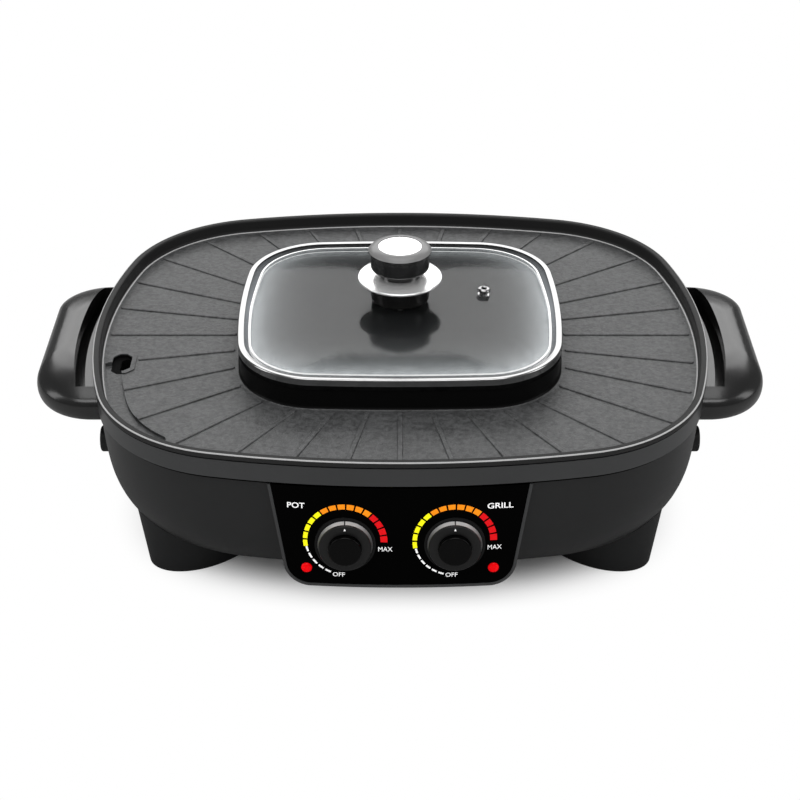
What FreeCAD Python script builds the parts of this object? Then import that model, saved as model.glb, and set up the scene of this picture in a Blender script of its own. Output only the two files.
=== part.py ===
import FreeCAD, Part

import math
import os

# Electric hot pot with lid: a grill pan with a lidded pot in its middle, on a moulded base.
# Millimetres, +Z up.  The origin is on the table under the middle of the object, and the
# control panel faces -Y.  Each function below makes one piece, and export() writes it.

Vector = FreeCAD.Vector
ORIGIN = Vector(0, 0, 0)
ALONG_X = Vector(1, 0, 0)
ALONG_Y = Vector(0, 1, 0)
ALONG_Z = Vector(0, 0, 1)

# ---------------------------------------------------------------- driving dimensions

# Outline of the body: four shallow side arcs joined by four corner arcs.
BODY_HALF_WIDTH = 212.5
BODY_HALF_DEPTH = 182.4
BODY_FRONT_RADIUS = 610.0
BODY_SIDE_RADIUS = 368.0
BODY_CORNER_RADIUS = 102.5

# Outline of the lid and the pot, drawn the same way.
LID_HALF_WIDTH = 111.9
LID_HALF_DEPTH = 103.8
LID_FRONT_RADIUS = 1022.0
LID_SIDE_RADIUS = 549.0
LID_CORNER_RADIUS = 55.0

# Heights, stacked up from the table.
BODY_CLEARANCE = 17.1
SHELL_HEIGHT = 88.8
PARTING_GAP = 1.0
BAND_HEIGHT = 14.1
LIP_HEIGHT = 4.0
TRAY_DEPTH = 9.5
DECK_THICKNESS = 3.5
COLLAR_HEIGHT = 14.5

# Lower shell.
SHELL_INSET = 3.3
SHELL_WALL = 2.6
SHELL_FLOOR = 3.0
SHELL_FLARE = 70.0
SHELL_SHARPNESS = 2.75
SHELL_CORNER_KEEP = 0.3
SHELL_SIDE_SOFTEN = 2.5
LEDGE_WIDTH = 6.6
LEDGE_THICKNESS = 3.0
HANDLE_BOSS_RADIUS = 6.0
HANDLE_BOSS_LENGTH = 24.0

# Upper band.
BAND_INSET = 0.9
BAND_WALL = 1.9
BAND_LAND_INSET = 1.9
BAND_GROOVE = 1.1
BAND_RING_INSET = 1.2
BAND_RING_HEIGHT = 3.5
BAND_STEP_INSET = 0.4
BAND_STEP_WIDTH = 3.0
BAND_STEP_HEIGHT = 1.5

# Grill pan.
PAN_GAP = 0.4
PAN_WALL = 2.1
LIP_ROUND_TOP = 1.5
LIP_ROUND_UNDER = 0.8
TRAY_FILLET = 2.5
COLLAR_WALL = 4.8
COLLAR_OUTSET = -0.8
COLLAR_ROUND = 0.6
RIB_COUNT = 32
RIB_WIDTH = 3.6
RIB_HEIGHT = 0.9
RIB_ROUND = 0.8
RIB_END_GAP = 3.5
RIB_DRAIN_GAP = 1.5
DRAIN_WIDTH = 13.0
DRAIN_LENGTH = 23.0
DRAIN_CHAMFER = 4.0
DRAIN_FROM_SIDE = 22.0
DRAIN_Y = -41.0
DRAIN_RIM_WIDTH = 3.0
DRAIN_RIM_HEIGHT = 0.8
DRAIN_NECK_WALL = 1.2
DRAIN_NECK_DEPTH = 6.0
DRAIN_NECK_INSET = 2.8
DRAIN_NECK_OFFSET = 2.8
DRAIN_SILL = 1.4
CHANNEL_WIDTH = 11.0
CHANNEL_DEPTH = 2.0
CHANNEL_FROM_WALL = 3.0
CHANNEL_END_ANGLE = 222.0

# Drip cup.
CUP_WIDTH = 12.8
CUP_LENGTH = 23.0
CUP_DEPTH = 14.0
CUP_WALL = 1.2
CUP_ROUND = 3.0
CUP_CLEARANCE = 0.6
CUP_ROOM_DEPTH = 22.0
SEAT_GAP = 0.3

# Pot.
POT_FLANGE_HEIGHT = 3.4
POT_FLANGE_OUTSET = -0.3
POT_FLANGE_ROUND = 1.2
POT_BODY_INSET = 7.2
POT_WALL = 2.4
POT_FLOOR = 2.6
POT_RAISE = 30.9
POT_CORNER = 20.0

# Lid.
LID_RIM_HEIGHT = 4.8
LID_RIM_WIDTH = 4.2
LID_RIM_SHEET = 0.5
LID_RIM_ROUND = 1.1
GLASS_EDGE_INSET = 1.0
GLASS_THICKNESS = 3.0
GLASS_RISE = 8.4
GLASS_DOME_START = 0.955
GLASS_DOME_END = 0.155
GLASS_DOME_POWER = 2.4
VENT_X = 59.0
VENT_Y = 14.3
VENT_RADIUS = 4.7
VENT_BARREL_RADIUS = 2.9
VENT_HOLE_RADIUS = 1.7
VENT_LIP = 0.9
VENT_FLANGE_GAP = 0.15

# Lid knob, all round pieces about the middle axis.
KNOB_FOOT_RADIUS = 20.2
KNOB_FOOT_HEIGHT = 14.7
KNOB_FOOT_ROUND = 1.2
KNOB_FLANGE_RADIUS = 29.2
KNOB_FLANGE_EDGE = 1.9
KNOB_FLANGE_HEIGHT = 3.4
KNOB_NECK_RADIUS = 14.5
KNOB_NECK_HEIGHT = 4.8
KNOB_BODY_RADIUS = 20.4
KNOB_BODY_HEIGHT = 12.2
KNOB_BODY_ROUND = 1.6
KNOB_RING_RADIUS = 21.7
KNOB_RING_HEIGHT = 4.4
KNOB_RING_UNDER = 0.8
KNOB_RING_SIDE = 1.4
KNOB_RING_BULGE_IN = 1.9
KNOB_RING_BULGE_DOWN = 1.25
KNOB_RING_LAND = 0.5
KNOB_RING_FIT = 0.2
KNOB_DISC_RADIUS = 14.8
KNOB_DISC_SINK = 2.0
KNOB_SCREW_RADIUS = 2.5
KNOB_SCREW_GRIP = 9.0
KNOB_SCREW_END_GAP = 1.0
KNOB_HOLE_CLEARANCE = 0.6
KNOB_WASHER_RADIUS = 10.0
KNOB_WASHER_HEIGHT = 2.0

# Control pod, drawn upright and then tilted about its top edge.
PANEL_HALF_TOP = 81.0
PANEL_HALF_BOTTOM = 70.2
PANEL_HEIGHT = 71.0
PANEL_CORNER_RADIUS = 15.0
PANEL_THICKNESS = 2.5
PANEL_TILT = 3.3
POD_BORDER = 2.2
POD_LEDGE = 3.0
POD_DEPTH = 30.0
POD_PROUD = 0.3
POD_CLEARANCE = 0.25
DIAL_SPACING = 69.4
DIAL_DROP = 41.0
DIAL_PAD_RADIUS = 19.4
DIAL_RADIUS = 17.45
DIAL_TOP_RADIUS = 16.5
DIAL_HEIGHT = 5.0
DIAL_BEVEL = 1.2
DIAL_GAP = 0.4
DIAL_CAP_RADIUS = 10.5
DIAL_CAP_HEIGHT = 5.0
DIAL_CAP_SINK = 1.0
DIAL_CAP_GAP = 0.3
DIAL_CAP_ROUND = 1.4
DIAL_WEB = 1.0
PAD_PROUD = 0.3
SHAFT_HOLE_CLEARANCE = 0.4
SHAFT_RADIUS = 3.0
SHAFT_CLEARANCE = 0.05
LAMP_SPACING = 119.2
LAMP_DROP = 59.7
LAMP_RADIUS = 3.45
LAMP_PROUD = 1.8
LAMP_COLLAR_WIDTH = 1.2
LAMP_COLLAR_THICKNESS = 1.1
LAMP_COLLAR_GAP = 0.5
LAMP_HOLDER_LENGTH = 9.0
THERMOSTAT_WIDTH = 28.0
THERMOSTAT_HEIGHT = 24.0
THERMOSTAT_DEPTH = 16.0
THERMOSTAT_BUSH_RADIUS = 6.0
THERMOSTAT_BORE_DEPTH = 12.0
THERMOSTAT_BUSH_LENGTH = 4.0
TAG_SPREAD = 0.55
TAG_WIDTH = 6.0
TAG_LENGTH = 8.0
TAG_THICKNESS = 0.8

# Handles.
HANDLE_REACH = 35.5
HANDLE_HALF_LENGTH = 84.5
HANDLE_CORNER_RADIUS = 38.0
HANDLE_TOP_DROP = 4.2
HANDLE_THICKNESS = 27.8
HANDLE_WAIST_DROP = 19.0
HANDLE_PLATE_OUTSET = 5.6
HANDLE_PLATE_DROP = 13.0
HANDLE_SLOT_OUTSET = 12.2
HANDLE_SLOT_FLARE = 7.0
HANDLE_SLOT_HALF_LENGTH = 72.0
HANDLE_WEB = 3.0
HANDLE_TOP_SLOPE_X = 26.0
HANDLE_TOP_SLOPE_Y = 52.0
HANDLE_TOP_POWER_X = 2.6
HANDLE_TOP_POWER_Y = 1.9
HANDLE_UNDER_ROUND = 8.0
HANDLE_UNDER_POWER = 2.2
HANDLE_STEPS = 9
HANDLE_ROOT_DEPTH = 27.0

# Feet.
FOOT_SIDE_INSET = 4.9
FOOT_FRONT_INSET = 19.3
FOOT_ANGLE = 41.0
FOOT_HALF_LENGTH = 43.0
FOOT_HALF_WIDTH = 28.0
FOOT_SPREAD = 6.0
FOOT_WALL = 2.5
FOOT_TOP_Z = 46.0
FOOT_PAD_INSET = 3.5
FOOT_PAD_HEIGHT = 3.0
FOOT_PAD_PROUD = 1.0
FOOT_BOSS_RADIUS = 5.0
FOOT_BOSS_DEPTH = 9.0
FOOT_BOSS_SHARE = 0.55
FOOT_BOSS_FLOOR = 1.0

# Bottom cover.
COVER_THICKNESS = 1.3
COVER_LIP = 8.0
COVER_OPENING = 12.0
COVER_GAP = 0.3
VENT_SLOT_LENGTH = 38.0
VENT_SLOT_WIDTH = 4.0
VENT_SLOT_PITCH = 10.0
VENT_SLOT_ROWS = 7

# Heaters, heat shield and wiring.
HEATER_TUBE_RADIUS = 4.0
HEATER_PIN_RADIUS = 1.5
HEATER_PIN_LENGTH = 7.0
HEATER_GAP = 14.0
GRILL_HEATER_SHARE = 0.6
POT_HEATER_SHARE = 0.62
CLAMP_LENGTH = 8.0
CLAMP_WIDTH = 12.0
CLAMP_FIT = 0.15
GRILL_CLAMP_ANGLES = (20.0, 70.0, 110.0, 160.0, 205.0, 245.0, 295.0, 335.0)
POT_CLAMP_ANGLES = (30.0, 150.0, 210.0, 330.0)
SHIELD_SHEET = 0.8
SHIELD_WELL_OUTSET = 4.0
SHIELD_FLANGE_INSET = 34.0
SHIELD_WELL_DROP = 13.5
SHIELD_FLANGE_DROP = 25.0
SHIELD_WALL_TOP_DROP = 9.0
SPACER_RADIUS = 5.0
SPACER_INSET_X = 44.6
SPACER_INSET_Y = 46.2
WIRE_RADIUS = 1.3
WIRE_BEND = 12.0
LEAD_BEND = 8.4
LEAD_RUN = 40.0
LEAD_RISE = 8.0
LEAD_SIDE_GAP = 13.0
LEAD_CLEARANCE = 6.0
TERMINAL_X = -30.0
TERMINAL_LENGTH = 40.0
TERMINAL_WIDTH = 16.0
TERMINAL_HEIGHT = 12.0
TERMINAL_MARGIN = 11.7
TERMINAL_HOLES = 4
TERMINAL_HOLE_RADIUS = 2.4
TERMINAL_HOLE_DEPTH = 6.0
FUSE_RADIUS = 2.5
FUSE_LENGTH = 14.0
FUSE_Y = -40.0
FUSE_DROP = 1.0
FUSE_SADDLE_WIDTH = 6.0
FUSE_SADDLE_LENGTH = 9.0

# Rear power inlet.
INLET_Z = 60.0
INLET_WIDTH = 28.0
INLET_HEIGHT = 18.0
INLET_FLANGE = 4.0
INLET_FLANGE_THICKNESS = 2.0
INLET_LENGTH = 26.0
INLET_RECESS = 14.0
INLET_WALL = 2.4
INLET_PIN_RADIUS = 1.8
INLET_PIN_SPACING = 9.0
INLET_PIN_SETBACK = 5.0
INLET_PIN_TAIL = 7.0
INLET_FIT = 0.2
INLET_ROUND = 3.0
INLET_BOSS_BORDER = 6.0
INLET_BOSS_PROUD = 2.5
INLET_BOSS_DEPTH = 12.0
INLET_BOSS_ROUND = 4.0

# Side plugs.
PLUG_Y = -65.0
PLUG_DROP = 36.0
PLUG_RADIUS = 9.0
PLUG_PROUD = 1.8
PLUG_DEPTH = 14.0
PLUG_STEM_RADIUS = 5.0
PLUG_STEM_DEPTH = 12.0
PLUG_FIT = 0.1
PLUG_ROUND = 1.6

# Fasteners.
SCREW_RADIUS = 1.5
SCREW_HEAD_RADIUS = 3.0
SCREW_HEAD_HEIGHT = 2.0
SCREW_FIT = 0.05
BODY_SCREW_CLEARANCE = 0.7
BODY_SCREW_POD_GAP = 6.1
BODY_SCREW_LENGTH = 5.8
BODY_SCREW_HOLE = 3.1
COVER_SCREW_GRIP = 1.5
HANDLE_SCREW_RADIUS = 2.0
HANDLE_SCREW_Y = 77.0
HANDLE_SCREW_DROP = 27.0
HANDLE_SCREW_SETBACK = 17.0
HANDLE_SCREW_LENGTH = 32.0
HANDLE_SCREW_HOLE = 34.0
BODY_SCREW_ANGLES = (38.0, 90.0, 142.0, 218.0, 322.0)
COVER_SCREW_ANGLES = (0.0, 60.0, 120.0, 180.0, 240.0, 300.0)

# ---------------------------------------------------------------- heights that follow

SHELL_TOP = BODY_CLEARANCE + SHELL_HEIGHT
BAND_BOTTOM = SHELL_TOP + PARTING_GAP
BAND_TOP = BAND_BOTTOM + BAND_HEIGHT
LIP_TOP = BAND_TOP + LIP_HEIGHT
DECK_TOP = LIP_TOP - TRAY_DEPTH
DECK_UNDER = DECK_TOP - DECK_THICKNESS
COLLAR_TOP = DECK_TOP + COLLAR_HEIGHT
POT_TOP = COLLAR_TOP + POT_FLANGE_HEIGHT
POT_BOTTOM = BODY_CLEARANCE + POT_RAISE
LID_RIM_TOP = POT_TOP + LID_RIM_HEIGHT
GLASS_UNDER = POT_TOP + LID_RIM_SHEET
GLASS_EDGE_TOP = GLASS_UNDER + GLASS_THICKNESS
GLASS_TOP = GLASS_EDGE_TOP + GLASS_RISE
COVER_TOP = BODY_CLEARANCE + COVER_THICKNESS
PAN_WALL_INSET = BAND_INSET + BAND_WALL + PAN_GAP
TRAY_INSET = PAN_WALL_INSET + PAN_WALL
HANDLE_TOP = LIP_TOP - HANDLE_TOP_DROP
HANDLE_BOTTOM = HANDLE_TOP - HANDLE_THICKNESS
HANDLE_WAIST = LIP_TOP - HANDLE_WAIST_DROP
HANDLE_PLATE_TOP = LIP_TOP - HANDLE_PLATE_DROP
SHIELD_FLOOR = POT_BOTTOM - SHIELD_WELL_DROP
SHIELD_FLANGE = DECK_UNDER - SHIELD_FLANGE_DROP
SHIELD_WALL_TOP = DECK_UNDER - SHIELD_WALL_TOP_DROP
GRILL_HEATER_Z = DECK_UNDER - SEAT_GAP - HEATER_TUBE_RADIUS
POT_HEATER_Z = POT_BOTTOM - SEAT_GAP - HEATER_TUBE_RADIUS
FAR = 400.0
OVERCUT = 5.0


# ---------------------------------------------------------------- outlines and helpers


class Outline:
    """A bulged rounded rectangle about the Z axis: side arcs joined by tangent corner arcs."""

    def __init__(self, half_width, half_depth, front_radius, side_radius, corner_radius):
        self.half_width = half_width
        self.half_depth = half_depth
        self.front_radius = front_radius
        self.side_radius = side_radius
        self.corner_radius = corner_radius
        self.front_centre = Vector(0, half_depth - front_radius, 0)
        self.side_centre = Vector(half_width - side_radius, 0, 0)
        self.corner_centre = self.find_corner_centre()
        to_corner = self.corner_centre - self.front_centre
        self.front_end = self.front_centre + to_corner * (front_radius / to_corner.Length)
        to_corner = self.corner_centre - self.side_centre
        self.side_end = self.side_centre + to_corner * (side_radius / to_corner.Length)

    def find_corner_centre(self):
        """The corner circle touches the back arc and the side arc from inside."""
        near = self.front_radius - self.corner_radius
        far = self.side_radius - self.corner_radius
        across = self.side_centre - self.front_centre
        span = across.Length
        along = (near * near - far * far + span * span) / (2 * span)
        off = math.sqrt(near * near - along * along)
        unit = across * (1 / span)
        foot = self.front_centre + unit * along
        normal = Vector(-unit.y, unit.x, 0)
        centre = foot + normal * off
        if centre.x < 0 or centre.y < 0:
            centre = foot - normal * off
        return centre

    def inset(self, amount):
        """The parallel outline that lies amount further in."""
        return Outline(
            self.half_width - amount,
            self.half_depth - amount,
            self.front_radius - amount,
            self.side_radius - amount,
            self.corner_radius - amount,
        )

    def scaled(self, share):
        """The outline drawn smaller by one factor about the Z axis."""
        return Outline(
            self.half_width * share,
            self.half_depth * share,
            self.front_radius * share,
            self.side_radius * share,
            self.corner_radius * share,
        )

    def towards(self, other, share):
        """An outline between this one and another."""
        return Outline(
            self.half_width + (other.half_width - self.half_width) * share,
            self.half_depth + (other.half_depth - self.half_depth) * share,
            self.front_radius + (other.front_radius - self.front_radius) * share,
            self.side_radius + (other.side_radius - self.side_radius) * share,
            self.corner_radius + (other.corner_radius - self.corner_radius) * share,
        )

    def corner_middle(self):
        """The point in the middle of the corner arc of the quadrant +X +Y."""
        first = self.front_end - self.corner_centre
        second = self.side_end - self.corner_centre
        middle = (first + second).normalize()
        return self.corner_centre + middle * self.corner_radius

    def edges(self, z, gap=0.0):
        """The arcs of the outline, from the front middle round by the left; gap opens the front."""
        front = self.front_end
        side = self.side_end
        corner = self.corner_middle()
        front_middle_x = (gap + front.x) / 2
        edges = []
        if gap:
            edges.append(
                arc(
                    self.front_point(-gap, z),
                    self.front_point(-front_middle_x, z),
                    Vector(-front.x, -front.y, z),
                )
            )
        edges.append(
            arc(Vector(-front.x, -front.y, z), Vector(-corner.x, -corner.y, z), Vector(-side.x, -side.y, z))
        )
        edges.append(
            arc(Vector(-side.x, -side.y, z), Vector(-self.half_width, 0, z), Vector(-side.x, side.y, z))
        )
        edges.append(
            arc(Vector(-side.x, side.y, z), Vector(-corner.x, corner.y, z), Vector(-front.x, front.y, z))
        )
        edges.append(
            arc(Vector(-front.x, front.y, z), Vector(0, self.half_depth, z), Vector(front.x, front.y, z))
        )
        edges.append(
            arc(Vector(front.x, front.y, z), Vector(corner.x, corner.y, z), Vector(side.x, side.y, z))
        )
        edges.append(
            arc(Vector(side.x, side.y, z), Vector(self.half_width, 0, z), Vector(side.x, -side.y, z))
        )
        edges.append(
            arc(Vector(side.x, -side.y, z), Vector(corner.x, -corner.y, z), Vector(front.x, -front.y, z))
        )
        if gap:
            edges.append(
                arc(
                    Vector(front.x, -front.y, z),
                    self.front_point(front_middle_x, z),
                    self.front_point(gap, z),
                )
            )
        else:
            edges.append(
                arc(
                    Vector(front.x, -front.y, z),
                    Vector(0, -self.half_depth, z),
                    Vector(-front.x, -front.y, z),
                )
            )
        return edges

    def front_point(self, x, z):
        """The point of the front arc at x."""
        y = self.front_centre.y + math.sqrt(self.front_radius ** 2 - x * x)
        return Vector(x, -y, z)

    def wire(self, z):
        return Part.Wire(self.edges(z))

    def solid(self, bottom, top):
        return Part.Face(self.wire(bottom)).extrude(Vector(0, 0, top - bottom))

    def ring(self, inner, bottom, top):
        """The ring between this outline and an inner one."""
        return self.solid(bottom, top).cut(inner.solid(bottom, top))

    def reach(self, angle):
        """The distance from the Z axis to the outline, at an angle in degrees from +X."""
        unit = Vector(abs(math.cos(math.radians(angle))), abs(math.sin(math.radians(angle))), 0)
        turn = math.atan2(unit.y, unit.x)
        if turn >= math.atan2(self.front_end.y, self.front_end.x):
            centre = self.front_centre
            radius = self.front_radius
        elif turn <= math.atan2(self.side_end.y, self.side_end.x):
            centre = self.side_centre
            radius = self.side_radius
        else:
            centre = self.corner_centre
            radius = self.corner_radius
        along = unit.dot(centre)
        return along + math.sqrt(along * along - centre.dot(centre) + radius * radius)

    def point(self, angle, z):
        """The point of the outline at an angle in degrees from +X."""
        reach = self.reach(angle)
        return Vector(reach * math.cos(math.radians(angle)), reach * math.sin(math.radians(angle)), z)


def arc(start, middle, end):
    return Part.Arc(start, middle, end).toShape()


def box(x0, x1, y0, y1, z0, z1):
    """A box between two corners."""
    return Part.makeBox(x1 - x0, y1 - y0, z1 - z0, Vector(x0, y0, z0))


def prism(points, direction):
    """A polygon pushed along a direction."""
    return Part.Face(Part.makePolygon(points + points[:1])).extrude(direction)


def turned(profile):
    """A solid of revolution about Z.  An entry is (radius, z), or (radius, z, mid radius, mid z)
    where the profile reaches that point along an arc."""
    edges = []
    last = None
    for entry in profile + profile[:1]:
        here = Vector(entry[0], 0, entry[1])
        if last is not None:
            if len(entry) == 4:
                edges.append(arc(last, Vector(entry[2], 0, entry[3]), here))
            else:
                edges.append(Part.LineSegment(last, here).toShape())
        last = here
    return Part.Face(Part.Wire(edges)).revolve(ORIGIN, ALONG_Z, 360)


def disc(radius, bottom, top, x=0.0, y=0.0):
    """An upright cylinder."""
    return Part.makeCylinder(radius, top - bottom, Vector(x, y, bottom))


def rod(radius, start, end):
    """A cylinder from one point to another."""
    return Part.makeCylinder(radius, (end - start).Length, start, end - start)


def edges_at(shape, z, tolerance=1e-4):
    """The edges of a shape that lie in the plane of one height."""
    found = []
    for edge in shape.Edges:
        bounds = edge.BoundBox
        if abs(bounds.ZMin - z) < tolerance and abs(bounds.ZMax - z) < tolerance:
            found.append(edge)
    return found


def joined(shapes):
    """Several overlapping solids made into one."""
    return shapes[0].multiFuse(shapes[1:]).removeSplitter()


def smooth_loft(wires):
    """A solid skinned smoothly over a row of wires."""
    return Part.makeLoft(wires, True, False, False, 3)


def mirrored(shape):
    """The copy on the other side, left for right."""
    return shape.mirror(ORIGIN, ALONG_X)


def bowl(outline, top, depth, flare, sharpness, keep, soften, steps=9):
    """A rounded hull below an outline.  Its sides fall as a quarter of a superellipse to a flat
    floor that lies flare further in; the corners keep their radius and the sides soften."""
    wires = []
    power = 2.0 / sharpness
    for step in range(steps + 1):
        turn = math.pi / 2 * step / steps
        drop = depth * math.sin(turn) ** power
        inward = flare
        if step < steps:
            inward = flare * (1 - math.cos(turn) ** power)
        section = Outline(
            outline.half_width - inward,
            outline.half_depth - inward,
            outline.front_radius - soften * inward,
            outline.side_radius - soften * inward,
            outline.corner_radius - keep * inward,
        )
        wires.append(section.wire(top - drop))
    return smooth_loft(wires)


def rounded_path(points, bend):
    """Straight runs joined by tangent arcs of one radius."""
    edges = []
    start = points[0]
    for index in range(1, len(points) - 1):
        corner = points[index]
        before = (points[index - 1] - corner).normalize()
        after = (points[index + 1] - corner).normalize()
        half = before.getAngle(after) / 2
        back = bend / math.tan(half)
        first = corner + before * back
        last = corner + after * back
        inward = (before + after).normalize()
        middle = corner + inward * (bend / math.sin(half) - bend)
        edges.append(Part.LineSegment(start, first).toShape())
        edges.append(arc(first, middle, last))
        start = last
    edges.append(Part.LineSegment(start, points[-1]).toShape())
    return edges


def tube(edges, radius):
    """A round bar along tangent edges."""
    path = Part.Wire(edges)
    start = edges[0].valueAt(edges[0].FirstParameter)
    heading = edges[0].tangentAt(edges[0].FirstParameter)
    section = Part.Wire(Part.makeCircle(radius, start, heading))
    return path.makePipeShell([section], True, True)


def screw(point, direction, radius, length):
    """A pan-head screw: its head sits on point and its shank runs along direction."""
    head_radius = SCREW_HEAD_RADIUS * radius / SCREW_RADIUS
    head_height = SCREW_HEAD_HEIGHT * radius / SCREW_RADIUS
    head = Part.makeCylinder(head_radius, head_height, ORIGIN)
    head = head.makeFillet(head_height * 0.4, edges_at(head, head_height))
    slot = head_radius * 0.55
    width = head_radius * 0.13
    cross = box(-slot, slot, -width, width, head_height * 0.45, head_height + 1)
    cross = cross.fuse(box(-width, width, -slot, slot, head_height * 0.45, head_height + 1))
    whole = head.cut(cross).fuse(disc(radius, -length, 0))
    turn = FreeCAD.Rotation(ALONG_Z, direction * -1)
    whole.Placement = FreeCAD.Placement(point, turn)
    return whole


def export(name, shape):
    """Writes one piece, moved to the object's frame, and prints a line about it."""
    placed = shape.translated(Vector(0, frame_shift(), 0))
    placed.exportStep(os.path.join("parts", name + ".step"))
    volume = placed.Volume / 1000
    print(f"{name:22s} solids {len(placed.Solids)} volume {volume:8.2f} cm3 valid {placed.isValid()}")


BODY = Outline(BODY_HALF_WIDTH, BODY_HALF_DEPTH, BODY_FRONT_RADIUS, BODY_SIDE_RADIUS, BODY_CORNER_RADIUS)
LID = Outline(LID_HALF_WIDTH, LID_HALF_DEPTH, LID_FRONT_RADIUS, LID_SIDE_RADIUS, LID_CORNER_RADIUS)
DRAIN_X = DRAIN_FROM_SIDE - BODY_HALF_WIDTH
CUP_X = DRAIN_X + DRAIN_NECK_OFFSET
POD_TOP = SHELL_TOP - 0.2
POD_TURN_POINT = Vector(0, BAND_INSET - BODY_HALF_DEPTH, POD_TOP)


def shell_hull(grow, floor=0.0):
    """The lower shell's outside, grown outwards; a negative growth gives the inside."""
    outline = BODY.inset(SHELL_INSET - grow)
    depth = SHELL_HEIGHT + max(grow, 0.0) - floor
    return bowl(
        outline, SHELL_TOP, depth, SHELL_FLARE, SHELL_SHARPNESS, SHELL_CORNER_KEEP, SHELL_SIDE_SOFTEN
    )


SHELL_OUTSIDE = shell_hull(0.0)
SHELL_INSIDE = shell_hull(-SHELL_WALL, SHELL_FLOOR)
SHELL_FLOOR_OUTLINE = Outline(
    BODY_HALF_WIDTH - SHELL_INSET - SHELL_FLARE,
    BODY_HALF_DEPTH - SHELL_INSET - SHELL_FLARE,
    BODY_FRONT_RADIUS - SHELL_INSET - SHELL_SIDE_SOFTEN * SHELL_FLARE,
    BODY_SIDE_RADIUS - SHELL_INSET - SHELL_SIDE_SOFTEN * SHELL_FLARE,
    BODY_CORNER_RADIUS - SHELL_INSET - SHELL_CORNER_KEEP * SHELL_FLARE,
)


# ---------------------------------------------------------------- grill pan and drip cup


def drain_polygon(grow, z):
    """The drain hole's outline: a long octagon, grown by an amount."""
    half_x = DRAIN_WIDTH / 2 + grow
    half_y = DRAIN_LENGTH / 2 + grow
    cut = DRAIN_CHAMFER + grow * math.tan(math.radians(22.5))
    corners = [
        (half_x, half_y - cut),
        (half_x - cut, half_y),
        (cut - half_x, half_y),
        (-half_x, half_y - cut),
        (-half_x, cut - half_y),
        (cut - half_x, -half_y),
        (half_x - cut, -half_y),
        (half_x, cut - half_y),
    ]
    return [Vector(DRAIN_X + x, DRAIN_Y + y, z) for x, y in corners]


def drain_prism(grow, bottom, top):
    return prism(drain_polygon(grow, bottom), Vector(0, 0, top - bottom))


def drain_neck(grow, bottom, top):
    """The drain's narrower lower part, moved towards the middle so that the cup clears the wall."""
    neck = drain_prism(grow - DRAIN_NECK_INSET, bottom, top)
    neck.translate(Vector(DRAIN_NECK_OFFSET, 0, 0))
    return neck


def oil_channel():
    """The groove along the left front corner that leads oil to the drain hole."""
    outer = BODY.inset(TRAY_INSET + CHANNEL_FROM_WALL)
    inner = outer.inset(CHANNEL_WIDTH)
    bottom = DECK_TOP - CHANNEL_DEPTH
    top = DECK_TOP + OVERCUT
    band = outer.ring(inner, bottom, top)
    end = outer.inset(CHANNEL_WIDTH / 2).point(CHANNEL_END_ANGLE, 0)
    start = outer.inset(CHANNEL_WIDTH / 2).point(180.0, 0)
    sector = prism(
        [
            Vector(0, 0, bottom),
            Vector(end.x * 2, end.y * 2, bottom),
            Vector(-FAR, end.y * 2, bottom),
            Vector(-FAR, DRAIN_Y, bottom),
            Vector(start.x / 2, DRAIN_Y, bottom),
        ],
        Vector(0, 0, top - bottom),
    )
    rounded_end = disc(CHANNEL_WIDTH / 2, bottom, top, end.x, end.y)
    return band.common(sector).fuse(rounded_end)


def grill_ribs():
    """Raised ribs on the deck, in rays from the middle, each with rounded ends."""
    inner = LID.inset(-COLLAR_OUTSET - RIB_END_GAP - RIB_WIDTH / 2)
    outer = BODY.inset(TRAY_INSET + RIB_END_GAP + RIB_WIDTH / 2)
    base = DECK_TOP - DECK_THICKNESS / 2
    ribs = []
    for number in range(RIB_COUNT):
        angle = 360.0 * number / RIB_COUNT
        near = inner.reach(angle)
        far = outer.reach(angle)
        half = RIB_WIDTH / 2
        edges = [
            Part.LineSegment(Vector(near, -half, base), Vector(far, -half, base)).toShape(),
            arc(Vector(far, -half, base), Vector(far + half, 0, base), Vector(far, half, base)),
            Part.LineSegment(Vector(far, half, base), Vector(near, half, base)).toShape(),
            arc(Vector(near, half, base), Vector(near - half, 0, base), Vector(near, -half, base)),
        ]
        top = DECK_TOP + RIB_HEIGHT
        rib = Part.Face(Part.Wire(edges)).extrude(Vector(0, 0, top - base))
        rib = rib.makeFillet(RIB_ROUND, edges_at(rib, top))
        rib.rotate(ORIGIN, ALONG_Z, angle)
        ribs.append(rib)
    return ribs


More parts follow.
